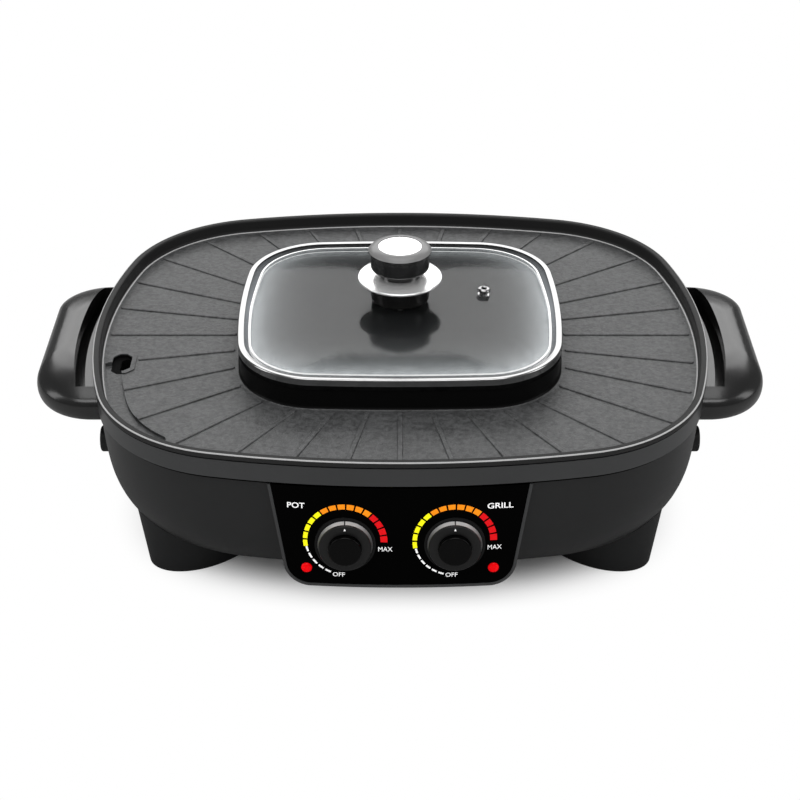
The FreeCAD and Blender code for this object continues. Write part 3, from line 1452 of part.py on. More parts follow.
def dial(spot):
    """Control dial: a tapered drum with a bevelled front edge."""
    bore = SHAFT_RADIUS + SHAFT_CLEARANCE
    height = DIAL_HEIGHT
    profile = [
        (bore, 0),
        (DIAL_RADIUS, 0),
        (DIAL_TOP_RADIUS + 0.2, height - DIAL_BEVEL),
        (DIAL_TOP_RADIUS - DIAL_BEVEL, height, DIAL_TOP_RADIUS - 0.25, height - 0.3),
        (DIAL_CAP_RADIUS + DIAL_CAP_GAP, height),
        (DIAL_CAP_RADIUS + DIAL_CAP_GAP, height - DIAL_CAP_SINK),
        (0, height - DIAL_CAP_SINK),
        (0, height - DIAL_CAP_SINK - DIAL_WEB),
        (bore, height - DIAL_CAP_SINK - DIAL_WEB),
    ]
    return facing_front(profile, spot, pad_front() - DIAL_GAP)


def dial_cap(spot):
    """Round cap in the middle of the dial."""
    r = DIAL_CAP_RADIUS
    high = DIAL_CAP_HEIGHT
    bend = DIAL_CAP_ROUND
    profile = [(0, 0), (r, 0), (r, high - bend), (r - bend, high, r - bend / 4, high - bend / 4), (0, high)]
    return facing_front(profile, spot, pad_front() - DIAL_GAP - DIAL_HEIGHT + DIAL_CAP_SINK)


def thermostat_front():
    """The front of the thermostat's body, behind its bush."""
    return pod_face_y(DIAL_SPACING / 2 - THERMOSTAT_BUSH_RADIUS, -PANEL_THICKNESS) + THERMOSTAT_BUSH_LENGTH


def shaft(spot):
    """Thermostat shaft that the dial is pressed on."""
    start = pad_front() - thermostat_front() - THERMOSTAT_BORE_DEPTH + SEAT_GAP
    end = DIAL_GAP + DIAL_HEIGHT - DIAL_CAP_SINK - DIAL_WEB - SHAFT_CLEARANCE
    profile = [(0, start), (SHAFT_RADIUS, start), (SHAFT_RADIUS, end), (0, end)]
    return facing_front(profile, spot, pad_front())


def thermostat(spot):
    """Thermostat body with the bush that bears on the back of the panel."""
    half_x = THERMOSTAT_WIDTH / 2
    half_z = THERMOSTAT_HEIGHT / 2
    start = thermostat_front()
    body = box(
        spot.x - half_x, spot.x + half_x, start, start + THERMOSTAT_DEPTH, spot.z - half_z, spot.z + half_z
    )
    bush_front = pod_face_y(DIAL_SPACING / 2 + THERMOSTAT_BUSH_RADIUS, -PANEL_THICKNESS)
    bush = rod(THERMOSTAT_BUSH_RADIUS, Vector(spot.x, bush_front, spot.z), Vector(spot.x, start + 1, spot.z))
    tags = []
    for side in (-1, 1):
        x = spot.x + side * half_x * TAG_SPREAD
        end = start + THERMOSTAT_DEPTH
        half_tag = TAG_WIDTH / 2
        half_sheet = TAG_THICKNESS / 2
        low = spot.z - half_sheet
        high = spot.z + half_sheet
        tags.append(box(x - half_tag, x + half_tag, end - 1.0, end + TAG_LENGTH, low, high))
    whole = joined([body, bush] + tags)
    bore_end = Vector(spot.x, start + THERMOSTAT_BORE_DEPTH, spot.z)
    bore = rod(SHAFT_RADIUS + SHAFT_CLEARANCE, Vector(spot.x, -FAR, spot.z), bore_end)
    return pod_placed(whole.cut(bore))


def lamp_lens(spot):
    """Red lens with a low dome, held by its collar behind the panel."""
    r = LAMP_RADIUS
    collar_top = -PANEL_THICKNESS - LAMP_COLLAR_GAP
    profile = [
        (0, collar_top - LAMP_COLLAR_THICKNESS),
        (r + LAMP_COLLAR_WIDTH, collar_top - LAMP_COLLAR_THICKNESS),
        (r + LAMP_COLLAR_WIDTH, collar_top),
        (r, collar_top),
        (r, 0.5),
        (r * 0.2, LAMP_PROUD, r * 0.75, LAMP_PROUD - 0.45),
        (0, LAMP_PROUD),
    ]
    return facing_front(profile, spot, pod_face_y(LAMP_SPACING / 2, 0.0))


def lamp_holder(spot):
    """Holder behind the lens."""
    high = -PANEL_THICKNESS - LAMP_COLLAR_GAP - LAMP_COLLAR_THICKNESS
    low = high - LAMP_HOLDER_LENGTH
    reach = LAMP_RADIUS + LAMP_COLLAR_WIDTH
    profile = [(0, low), (reach, low), (reach, high), (0, high)]
    return facing_front(profile, spot, pod_face_y(LAMP_SPACING / 2, 0.0))


# ---------------------------------------------------------------- side plugs and power inlet


def plug_spot(side, outward):
    """A point on a side plug's axis, counted outwards from the shell's widest line."""
    reach = BODY.inset(SHELL_INSET).reach(math.degrees(math.atan2(PLUG_Y, BODY_HALF_WIDTH)))
    x = math.sqrt(reach * reach - PLUG_Y * PLUG_Y)
    return Vector(side * (x + outward), PLUG_Y, SHELL_TOP - PLUG_DROP)


def side_plug(side):
    """Round blanking plug low on the side of the shell."""
    face = PLUG_PROUD
    button = rod(PLUG_RADIUS, plug_spot(side, -PLUG_DEPTH), plug_spot(side, face))
    outer = []
    for edge in button.Edges:
        bounds = edge.BoundBox
        if bounds.XLength < 0.01 and abs(bounds.XMin - plug_spot(side, face).x) < 0.01:
            outer.append(edge)
    button = button.makeFillet(PLUG_ROUND, outer).cut(shell_hull(SEAT_GAP / 3))
    stem = rod(PLUG_STEM_RADIUS, plug_spot(side, -PLUG_STEM_DEPTH), plug_spot(side, face - 1.0))
    return button.fuse(stem)


def inlet_face():
    """The flat face of the boss that carries the power inlet."""
    return BODY_HALF_DEPTH - SHELL_INSET - INLET_BOSS_PROUD


def power_inlet():
    """Recessed two-pin inlet for a detachable cord."""
    face = inlet_face()
    half_x = INLET_WIDTH / 2
    half_z = INLET_HEIGHT / 2
    body = box(-half_x, half_x, face - INLET_LENGTH, face + 1.0, INLET_Z - half_z, INLET_Z + half_z)
    edge_x = half_x + INLET_FLANGE
    edge_z = half_z + INLET_FLANGE
    flange = box(-edge_x, edge_x, face, face + INLET_FLANGE_THICKNESS, INLET_Z - edge_z, INLET_Z + edge_z)
    along_y = [edge for edge in flange.Edges if edge.BoundBox.YLength > INLET_FLANGE_THICKNESS / 2]
    flange = flange.makeFillet(INLET_ROUND, along_y)
    mouth_x = half_x - INLET_WALL
    mouth_z = half_z - INLET_WALL
    front = face + INLET_FLANGE_THICKNESS
    recess = box(-mouth_x, mouth_x, front - INLET_RECESS, front + 1, INLET_Z - mouth_z, INLET_Z + mouth_z)
    inlet = joined([body, flange]).cut(recess)
    for x in (-INLET_PIN_SPACING / 2, INLET_PIN_SPACING / 2):
        bore = rod(INLET_PIN_RADIUS + SCREW_FIT, Vector(x, 0, INLET_Z), Vector(x, FAR, INLET_Z))
        inlet = inlet.cut(bore)
    return inlet


def inlet_pins():
    """The two contact pins, with tags at the back."""
    front = inlet_face() + INLET_FLANGE_THICKNESS - INLET_PIN_SETBACK
    back = inlet_face() - INLET_LENGTH - INLET_PIN_TAIL
    return [
        rod(INLET_PIN_RADIUS, Vector(x, back, INLET_Z), Vector(x, front, INLET_Z))
        for x in (-INLET_PIN_SPACING / 2, INLET_PIN_SPACING / 2)
    ]


# ---------------------------------------------------------------- heaters and inside


SHIELD_WELL = LID.inset(-SHIELD_WELL_OUTSET)
SHIELD_RIM = BODY.inset(SHIELD_FLANGE_INSET)
GRILL_LOOP = SHIELD_WELL.towards(SHIELD_RIM, GRILL_HEATER_SHARE)
POT_LOOP = LID.scaled(POT_HEATER_SHARE)


def heater(loop, z):
    """Tubular heater: an open loop with a contact pin at each end."""
    shapes = [tube(loop.edges(z, HEATER_GAP), HEATER_TUBE_RADIUS)]
    for side in (-1, 1):
        end = loop.front_point(side * HEATER_GAP, z)
        inner = end - Vector(side * HEATER_PIN_LENGTH, 0, 0)
        shapes.append(rod(HEATER_PIN_RADIUS, end + Vector(side * 2.0, 0, 0), inner))
    return joined(shapes)


def heater_clamps(loop, z, floor, angles):
    """Saddles that carry a heater above a floor."""
    room = tube(loop.edges(z, HEATER_GAP), HEATER_TUBE_RADIUS + CLAMP_FIT)
    clamps = []
    for angle in angles:
        block = box(-CLAMP_WIDTH / 2, CLAMP_WIDTH / 2, -CLAMP_LENGTH / 2, CLAMP_LENGTH / 2, floor, z)
        spot = loop.point(angle, 0)
        block.rotate(ORIGIN, ALONG_Z, angle)
        block.translate(spot)
        clamps.append(block.cut(room))
    return clamps


def heat_shield():
    """Sheet tray below both heaters: a deep well for the pot and a flange for the grill."""
    well = SHIELD_WELL
    well_outer = well.inset(-SHIELD_SHEET)
    rim = SHIELD_RIM
    rim_inner = rim.inset(SHIELD_SHEET)
    floor = well_outer.solid(SHIELD_FLOOR, SHIELD_FLOOR + SHIELD_SHEET)
    wall = well_outer.ring(well, SHIELD_FLOOR, SHIELD_FLANGE + SHIELD_SHEET)
    flange = rim.ring(well, SHIELD_FLANGE, SHIELD_FLANGE + SHIELD_SHEET)
    edge = rim.ring(rim_inner, SHIELD_FLANGE, SHIELD_WALL_TOP)
    return joined([floor, wall, flange, edge])


def spacer_reach():
    """The place of one of the four pillars, in the quadrant +X +Y."""
    return Vector(SHIELD_WELL.half_width - SPACER_INSET_X, SHIELD_WELL.half_depth - SPACER_INSET_Y, 0)


def shield_spacers():
    """Pillars between the bottom cover and the floor of the heat shield."""
    place = spacer_reach()
    return [
        disc(SPACER_RADIUS, COVER_TOP, SHIELD_FLOOR, side_x * place.x, side_y * place.y)
        for side_x in (-1, 1)
        for side_y in (-1, 1)
    ]


def terminal_block():
    """Screw terminal block on the bottom cover."""
    half_x = TERMINAL_LENGTH / 2
    half_y = TERMINAL_WIDTH / 2
    y = SHELL_FLOOR_OUTLINE.half_depth - COVER_OPENING - TERMINAL_MARGIN - half_y
    top = COVER_TOP + TERMINAL_HEIGHT
    body = box(TERMINAL_X - half_x, TERMINAL_X + half_x, y - half_y, y + half_y, COVER_TOP, top)
    pitch = TERMINAL_LENGTH / TERMINAL_HOLES
    for number in range(TERMINAL_HOLES):
        centre = TERMINAL_X - half_x + (number + 0.5) * pitch
        body = body.cut(disc(TERMINAL_HOLE_RADIUS, top - TERMINAL_HOLE_DEPTH, top + 1.0, centre, y))
    return body


def thermal_fuse():
    """Safety fuse in its clip under the floor of the heat shield."""
    z = SHIELD_FLOOR - FUSE_RADIUS - FUSE_DROP
    barrel = rod(FUSE_RADIUS, Vector(-FUSE_LENGTH / 2, FUSE_Y, z), Vector(FUSE_LENGTH / 2, FUSE_Y, z))
    half_x = FUSE_SADDLE_WIDTH / 2
    half_y = FUSE_SADDLE_LENGTH / 2
    saddle = box(-half_x, half_x, FUSE_Y - half_y, FUSE_Y + half_y, z, SHIELD_FLOOR)
    return joined([barrel, saddle])


def inlet_lead(side):
    """A lead from a pin of the inlet, down and across to the top of the terminal block."""
    x = side * INLET_PIN_SPACING / 2
    over_block = COVER_TOP + TERMINAL_HEIGHT + WIRE_RADIUS + SEAT_GAP
    start = inlet_face() - INLET_LENGTH - INLET_PIN_TAIL - SEAT_GAP / 3
    behind_well = SHIELD_WELL.half_depth + SHIELD_SHEET + LEAD_CLEARANCE
    points = [
        Vector(x, start, INLET_Z),
        Vector(x, behind_well, INLET_Z),
        Vector(x, behind_well, over_block),
        Vector(x - LEAD_RUN, behind_well - LEAD_RUN, over_block),
    ]
    return tube(rounded_path(points, LEAD_BEND), WIRE_RADIUS)


def control_lead(side):
    """A lead along the floor of the shell and up to the tags of a thermostat."""
    low = BODY_CLEARANCE + SHELL_FLOOR + WIRE_RADIUS + SEAT_GAP
    x = side * (spacer_reach().x + SPACER_RADIUS + LEAD_SIDE_GAP)
    turn_y = COVER_OPENING + LEAD_CLEARANCE - SHELL_FLOOR_OUTLINE.half_depth
    before_well = -SHIELD_WELL.half_depth - SHIELD_SHEET - LEAD_CLEARANCE
    tag_x = side * (DIAL_SPACING + THERMOSTAT_WIDTH * TAG_SPREAD) / 2
    tag_y = thermostat_front() + THERMOSTAT_DEPTH + TAG_LENGTH + LEAD_CLEARANCE
    tag_z = POD_TOP - DIAL_DROP - THERMOSTAT_HEIGHT / 2
    points = [
        Vector(x, -turn_y / 2, low),
        Vector(x, turn_y, low),
        Vector((x + tag_x) / 2, before_well, low + LEAD_RISE),
        Vector(tag_x, tag_y, tag_z),
    ]
    return tube(rounded_path(points, WIRE_BEND), WIRE_RADIUS)


def internal_wiring():
    leads = [inlet_lead(side) for side in (-1, 1)]
    return leads + [control_lead(side) for side in (-1, 1)]


# ---------------------------------------------------------------- every node


def frame_shift():
    """How far the pieces move back from the body's own middle, so that the origin lies under the
    middle of the whole object, dials included."""
    tilt = math.radians(PANEL_TILT)
    cap_front = pad_front() - DIAL_GAP - DIAL_HEIGHT + DIAL_CAP_SINK - DIAL_CAP_HEIGHT
    drop = DIAL_DROP + DIAL_CAP_RADIUS - 1.0
    leaned = (cap_front - POD_TURN_POINT.y) * math.cos(tilt) - drop * math.sin(tilt)
    return -(POD_TURN_POINT.y + leaned + BODY_HALF_DEPTH) / 2


def main():
    os.makedirs("parts", exist_ok=True)
    export("grill_pan", grill_pan())
    export("drip_cup", drip_cup())
    export("inner_pot", inner_pot())
    export("lid_glass", lid_glass())
    export("lid_rim", lid_rim())
    export("vent_grommet", vent_grommet())
    export("knob_foot", knob_foot())
    export("knob_flange", knob_flange())
    export("knob_body", knob_body())
    export("knob_ring", knob_ring())
    export("knob_disc", knob_disc())
    export("knob_washer", knob_washer())
    export("knob_screw", knob_screw())
    export("upper_band", upper_band())
    export("lower_shell", lower_shell())
    export("bottom_cover", bottom_cover())
    export("body_screws", Part.makeCompound(body_screws()))
    export("cover_screws", Part.makeCompound(cover_screws()))
    handle = handle_right()
    export("handle_right", handle)
    export("handle_left", mirrored(handle))
    export("handle_screws", Part.makeCompound(handle_screws()))
    names = ("front_left", "front_right", "rear_left", "rear_right")
    for name, (centre, boss) in zip(names, foot_places()):
        export("foot_" + name, foot(centre, boss))
        export("foot_pad_" + name, foot_pad(centre))
    export("foot_screws", Part.makeCompound(foot_screws()))
    export("control_housing", control_housing())
    export("control_panel", control_panel())
    for name, spot in zip(("pot", "grill"), pod_spots(DIAL_SPACING, DIAL_DROP)):
        export("dial_" + name, dial(spot))
        export("dial_cap_" + name, dial_cap(spot))
        export("shaft_" + name, shaft(spot))
        export("thermostat_" + name, thermostat(spot))
    for name, spot in zip(("pot", "grill"), pod_spots(LAMP_SPACING, LAMP_DROP)):
        export("lamp_" + name, lamp_lens(spot))
    holders = [lamp_holder(spot) for spot in pod_spots(LAMP_SPACING, LAMP_DROP)]
    export("lamp_holders", Part.makeCompound(holders))
    export("side_plug_left", side_plug(-1))
    export("side_plug_right", side_plug(1))
    export("power_inlet", power_inlet())
    export("inlet_pins", Part.makeCompound(inlet_pins()))
    export("grill_heater", heater(GRILL_LOOP, GRILL_HEATER_Z))
    grill_clamps = heater_clamps(GRILL_LOOP, GRILL_HEATER_Z, SHIELD_FLANGE + SHIELD_SHEET, GRILL_CLAMP_ANGLES)
    export("grill_heater_clamps", Part.makeCompound(grill_clamps))
    export("pot_heater", heater(POT_LOOP, POT_HEATER_Z))
    pot_clamps = heater_clamps(POT_LOOP, POT_HEATER_Z, SHIELD_FLOOR + SHIELD_SHEET, POT_CLAMP_ANGLES)
    export("pot_heater_clamps", Part.makeCompound(pot_clamps))
    export("heat_shield", heat_shield())
    export("shield_spacers", Part.makeCompound(shield_spacers()))
    export("terminal_block", terminal_block())
    export("thermal_fuse", thermal_fuse())
    export("internal_wiring", Part.makeCompound(internal_wiring()))


main()
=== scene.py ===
# %% [markdown]
# # Electric hot pot with a grill pan
#
# The cooker stands on a table. Its die-cast grill pan drops into a moulded base, a lidded pot drops
# into a collar in the middle of the pan, and two dials on the front set the heat. The solid parts
# come from the CAD model. This script gives each of them its finish, adds what is printed on them,
# and lights them.

import math

import bmesh
import bpy
from mathutils import Matrix, Vector


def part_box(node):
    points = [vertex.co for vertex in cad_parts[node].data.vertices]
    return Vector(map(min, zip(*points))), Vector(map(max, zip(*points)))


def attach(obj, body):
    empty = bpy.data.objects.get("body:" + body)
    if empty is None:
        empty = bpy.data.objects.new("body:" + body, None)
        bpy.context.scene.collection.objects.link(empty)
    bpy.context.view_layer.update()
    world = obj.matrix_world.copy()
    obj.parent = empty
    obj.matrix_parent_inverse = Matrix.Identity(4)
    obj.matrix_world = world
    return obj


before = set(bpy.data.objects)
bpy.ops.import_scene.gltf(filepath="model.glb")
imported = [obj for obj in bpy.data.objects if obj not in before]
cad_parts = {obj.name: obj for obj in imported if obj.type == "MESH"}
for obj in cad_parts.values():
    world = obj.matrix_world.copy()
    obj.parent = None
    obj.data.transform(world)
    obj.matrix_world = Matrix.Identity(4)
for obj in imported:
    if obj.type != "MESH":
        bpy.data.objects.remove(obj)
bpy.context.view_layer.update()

# %% [markdown]
# ## Units
#
# Blender counts in metres and the drawing of the cooker in millimetres, so one helper turns one
# into the other. Named sizes of the cooker are in millimetres and angles in degrees. Lamps, the
# floor, and the grain and bumps of a finish are in metres. The grill pan is symmetric, so the
# middle of its box is the middle of the body.

# %% Units and the middle of the body
def mm(value):
    return value / 1000.0


pan_low, pan_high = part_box("grill_pan")
MIDDLE_Y = (pan_low[1] + pan_high[1]) / 2
print("body middle at y =", round(MIDDLE_Y * 1000, 2), "mm")

# %% [markdown]
# ## Writing finishes as sums
#
# A finish is a small network of shader nodes. Placing each node by hand makes long code, so a
# `Wire` stands for one output socket and can be added, multiplied or compared like a number.
# Each operation adds its Math node. A comparison gives 1 where it holds and 0 elsewhere, so the
# product of two comparisons marks the places where both hold.

# %% Wire
class Wire:
    """An output socket that can be used in a sum."""

    def __init__(self, writer, socket):
        self.writer = writer
        self.socket = socket

    def math(self, operation, first, second=0.0):
        return self.writer.node("ShaderNodeMath", {"operation": operation}, {0: first, 1: second})

    def __add__(self, other):
        return self.math("ADD", self, other)

    def __sub__(self, other):
        return self.math("SUBTRACT", self, other)

    def __rsub__(self, other):
        return self.math("SUBTRACT", other, self)

    def __mul__(self, other):
        return self.math("MULTIPLY", self, other)

    def __truediv__(self, other):
        return self.math("DIVIDE", self, other)

    def __pow__(self, other):
        return self.math("POWER", self, other)

    def __gt__(self, other):
        return self.math("GREATER_THAN", self, other)

    def __lt__(self, other):
        return self.math("LESS_THAN", self, other)

    __radd__ = __add__
    __rmul__ = __mul__

    def at_least(self, other):
        return self.math("MAXIMUM", self, other)

    def at_most(self, other):
        return self.math("MINIMUM", self, other)

    def absolute(self):
        return self.math("ABSOLUTE", self)

    def share(self):
        """The same value held between 0 and 1."""
        return self.at_least(0.0).at_most(1.0)

    def within(self, low, high):
        """1 between two values and 0 outside them."""
        return (self > low) * (self < high)

    def part(self, index):
        """One coordinate of a vector, or one channel of a colour."""
        return self.writer.node("ShaderNodeSeparateXYZ", {}, {0: self}, index)


# %% [markdown]
# ## Writing trees of nodes
#
# Finishes, the light of the world and Geometry Nodes are all trees of nodes. One method makes any
# node from its type, its settings and what goes into its sockets, and hands back its output as a
# `Wire`. A `Finish` is the tree of a material, with the few nodes that most finishes use.

# %% Node trees
class NodeWriter:
    """Writes nodes into an empty tree."""

    def __init__(self, tree):
        self.tree = tree
        self.tree.nodes.clear()

    def node(self, kind, settings=None, inputs=None, output=0):
        node = self.tree.nodes.new(kind)
        for key, value in (settings or {}).items():
            if key == "stops":
                self.set_stops(node.color_ramp, value)
            else:
                setattr(node, key, value)
        for key, value in (inputs or {}).items():
            if isinstance(value, Wire):
                self.tree.links.new(value.socket, node.inputs[key])
            else:
                node.inputs[key].default_value = value
        return Wire(self, node.outputs[output])

    def set_stops(self, ramp, stops):
        """Gives a ramp its stops; each is a place and a level of grey."""
        while len(ramp.elements) < len(stops):
            ramp.elements.new(0.5)
        for element, (place, shade) in zip(ramp.elements, stops):
            element.position = place
            element.color = (shade, shade, shade, 1.0)

    def ray(self, kind):
        """1 for rays of one kind and 0 for all others."""
        return self.node("ShaderNodeLightPath", {}, {}, kind)

    def close(self, kind, wire):
        """Ends the tree in its output node."""
        last = self.tree.nodes.new(kind)
        self.tree.links.new(wire.socket, last.inputs[0])


# %% Finish
class Finish(NodeWriter):
    """A material that is written node by node."""

    def __init__(self, name):
        self.material = bpy.data.materials.new(name)
        self.material.use_nodes = True
        super().__init__(self.material.node_tree)

    def place(self):
        """The point on the object, in metres."""
        return self.node("ShaderNodeTexCoord", {}, {}, "Object")

    def stretched(self, x, y, z):
        """The point on the object, with its coordinates multiplied."""
        return self.node("ShaderNodeMapping", {}, {"Vector": self.place(), "Scale": (x, y, z)})

    def noise(self, size, detail=2.0, roughness=0.5, place=None):
        """Soft random values about 0.5 whose patches are about size metres across."""
        vector = place or self.place()
        inputs = {"Vector": vector, "Scale": 1.0 / size, "Detail": detail, "Roughness": roughness}
        return self.node("ShaderNodeTexNoise", {}, inputs)

    def ramp(self, value, *stops):
        return self.node("ShaderNodeValToRGB", {"stops": stops}, {"Fac": value})

    def blend(self, share, first, second):
        """A colour between two colours. A Mix node has a pair of sockets for each kind of value,
        all with the same names, so those for colours are taken by number."""
        inputs = {0: share, 6: first, 7: second}
        return self.node("ShaderNodeMix", {"data_type": "RGBA"}, inputs, 2)

    def bump(self, height, depth, strength=1.0):
        inputs = {"Height": height, "Distance": depth, "Strength": strength}
        return self.node("ShaderNodeBump", {}, inputs)

    def surface(self, **inputs):
        """The principled shader; underscores in the names stand for spaces."""
        named = {key.replace("_", " "): value for key, value in inputs.items()}
        return self.node("ShaderNodeBsdfPrincipled", {}, named)

    def either(self, share, first, second):
        """One shader where the share is 0, another where it is 1, and a mix between."""
        return self.node("ShaderNodeMixShader", {}, {0: share, 1: first, 2: second})

    def done(self, shader):
        self.close("ShaderNodeOutputMaterial", shader)
        return self.material


# %% [markdown]
# ## Dressing the solid parts
#
# Each node of the CAD model is one piece, or a set such as the foot screws, with a slot for its
# material. A finish goes into the slots of all that is made of it. The meshes themselves stay as
# they are.

# %% Dress and grey
def dress(material, *names):
    """Gives CAD nodes a finish."""
    for name in names:
        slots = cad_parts[name].material_slots
        for slot in slots:
            slot.material = material
    print(material.name, "->", ", ".join(names))


def grey(level, tint=0.0):
    """A neutral colour; a positive tint makes it a little cooler."""
    return (level * (1 - tint), level, level * (1 + tint), 1.0)


# %% [markdown]
# ## Distance from an outline
#
# The body and the lid are rounded rectangles: shallow side arcs joined by corner arcs that touch
# them. How far a point lies in from such an outline tells the pan's lip from its deck, and the
# lid's rim from its glass. One class holds the arcs and works the distance out in shader nodes.

# %% Outlines
class ArcOutline:
    """Side arcs joined by corner arcs, about the middle of the body; sizes in millimetres."""

    def __init__(self, half_width, half_depth, front_radius, side_radius, corner_radius):
        self.half_depth = mm(half_depth)
        self.front_radius = mm(front_radius)
        self.side_radius = mm(side_radius)
        self.corner_radius = mm(corner_radius)
        self.front = Vector((0.0, mm(half_depth - front_radius)))
        self.side = Vector((mm(half_width - side_radius), 0.0))
        near = self.front_radius - self.corner_radius
        far = self.side_radius - self.corner_radius
        across = self.side - self.front
        span = across.length
        along = (near ** 2 - far ** 2 + span ** 2) / (2 * span)
        unit = across / span
        off = math.sqrt(near ** 2 - along ** 2)
        self.corner = self.front + unit * along + Vector((unit.y, -unit.x)) * off

    def inset(self, point):
        """How far a point lies in from the outline, in metres."""
        x = point.part(0).absolute()
        y = (point.part(1) - MIDDLE_Y).absolute()

        def room(centre, radius):
            return radius - ((x - centre.x) ** 2.0 + (y - centre.y) ** 2.0) ** 0.5

        from_front = (self.corner - self.front).normalized()
        from_side = (self.corner - self.side).normalized()
        right = x - self.corner.x
        up = y - self.corner.y
        past_front = right * from_front.y - up * from_front.x > 0.0
        past_side = up * from_side.x - right * from_side.y > 0.0
        sides = room(self.front, self.front_radius).at_most(room(self.side, self.side_radius))
        return sides + past_front * past_side * (room(self.corner, self.corner_radius) - sides)

    def forward(self, point):
        """Where a point lies from back to front: -1 at the back edge and 1 at the front edge."""
        return (MIDDLE_Y - point.part(1)) / self.half_depth


BODY_OUTLINE = ArcOutline(
    half_width=212.5, half_depth=182.4, front_radius=610.0, side_radius=368.0, corner_radius=102.5
)
LID_OUTLINE = ArcOutline(
    half_width=111.9, half_depth=103.8, front_radius=1022.0, side_radius=549.0, corner_radius=55.0
)
for title, outline in (("body", BODY_OUTLINE), ("lid", LID_OUTLINE)):
    print(title, "corner arcs at", tuple(round(v * 1000, 1) for v in outline.corner), "mm")

# %% [markdown]
# ## Camera
#
# The cooker is seen from the front and above by a long lens from more than a metre away, as in a
# catalogue. A long lens keeps the two handles the same size and the sides nearly straight.

# %% Camera
CAMERA_LENS = 83.25
SENSOR_WIDTH = 36.0
CAMERA_DOWN = 30.79
CAMERA_AWAY = 1142.5
CAMERA_HEIGHT = 742.55

camera_data = bpy.data.cameras.new("catalogue_camera")
camera_data.lens = CAMERA_LENS
camera_data.sensor_width = SENSOR_WIDTH
camera = bpy.data.objects.new("catalogue_camera", camera_data)
camera.location = (0.0, mm(-CAMERA_AWAY) + MIDDLE_Y, mm(CAMERA_HEIGHT))
camera.rotation_euler = (math.radians(90.0 - CAMERA_DOWN), 0.0, 0.0)
bpy.context.collection.objects.link(camera)
bpy.context.scene.camera = camera
bpy.context.scene.view_settings.view_transform = "Standard"
print("camera at", tuple(round(v, 3) for v in camera.location))

# %% [markdown]
# ## Lamps
#
# Black plastic shows its shape only through what it mirrors, so the lamps are wide and soft. The
# sheet behind is the brightest: level faces, such as the deck and the tops of the handles, mirror
# it towards the camera. Upright faces mirror the floor in front, and stay dark. A long strip above
# the camera puts the thin bright lines on the edges that face up and forward.

# %% Lamps
def lamp(name, place, target, width, depth, watts):
    data = bpy.data.lights.new(name, "AREA")
    data.shape = "RECTANGLE"
    data.size = width
    data.size_y = depth
    data.energy = watts
    thing = bpy.data.objects.new(name, data)
    thing.location = place
    aim = Vector(target) - Vector(place)
    thing.rotation_euler = aim.to_track_quat("-Z", "Y").to_euler()
    bpy.context.collection.objects.link(thing)
    print(name, width, "by", depth, "m,", watts, "W")


BODY_TOP = (0.0, 0.0, 0.1)
BODY_SIDE = (0.0, 0.0, 0.08)
LID_FRONT = (0.0, -0.15, 0.1)

lamp("sheet_behind", (0.0, 1.5, 1.05), BODY_TOP, width=2.2, depth=0.9, watts=15.0)
lamp("sheet_above", (0.0, 0.1, 1.7), BODY_TOP, width=1.2, depth=1.0, watts=9.0)
lamp("sheet_left", (-1.4, -0.2, 0.8), BODY_SIDE, width=0.5, depth=1.0, watts=4.0)
lamp("sheet_right", (1.4, -0.2, 0.8), BODY_SIDE, width=0.5, depth=1.0, watts=4.0)
lamp("strip_front", (0.0, -0.9, 1.6), LID_FRONT, width=1.8, depth=0.5, watts=10.0)

# %% [markdown]
# ## World
#
# The world does three jobs. The camera, and what looks through the glass, see it as plain white.
# Mirrors see it as a dim grey, which keeps black plastic black. Everything else takes a plain even
# light from it.

# %% World
WORLD_AS_LAMP = 0.80
WORLD_IN_MIRRORS = 0.18

world = bpy.data.worlds.new("white_room")
world.use_nodes = True
bpy.context.scene.world = world
room = NodeWriter(world.node_tree)


def strength_for(kind, others, these):
    """One strength for a kind of ray and another for all the rest."""
    inputs = {"Value": room.ray(kind), "To Min": others, "To Max": these}
    return room.node("ShaderNodeMapRange", {}, inputs)


strength = strength_for("Is Glossy Ray", WORLD_AS_LAMP, WORLD_IN_MIRRORS)
strength = strength_for("Is Transmission Ray", strength, 1.0)
strength = strength_for("Is Camera Ray", strength, 1.0)
background = room.node("ShaderNodeBackground", {}, {"Color": grey(1.0), "Strength": strength})
room.close("ShaderNodeOutputWorld", background)
print("world as a lamp", WORLD_AS_LAMP, "and in mirrors", WORLD_IN_MIRRORS)

# %% [markdown]
# ## Floor
#
# The floor is nearly white under the cooker, where it takes the soft shadow. Round the base it
# fades into the background, so no horizon shows. The fade follows a rounded rectangle, which a sum
# of cubes gives. Mirrors see the floor dimmer, like the world.

# %% Floor
FLOOR_WHITE = 0.93
FLOOR_IN_MIRRORS = 0.30
FLOOR_HALF_WIDTH = 6.0
SHADOW_HALF_WIDTH = 0.200
SHADOW_HALF_DEPTH = 0.160
SHADOW_FADE = (0.72, 1.04)
SHADOW_POWER = 3.0

floor_mesh = bpy.data.meshes.new("studio_floor")
build = bmesh.new()
bmesh.ops.create_grid(build, x_segments=1, y_segments=1, size=FLOOR_HALF_WIDTH)
build.to_mesh(floor_mesh)
build.free()
floor = bpy.data.objects.new("studio_floor", floor_mesh)
bpy.context.collection.objects.link(floor)

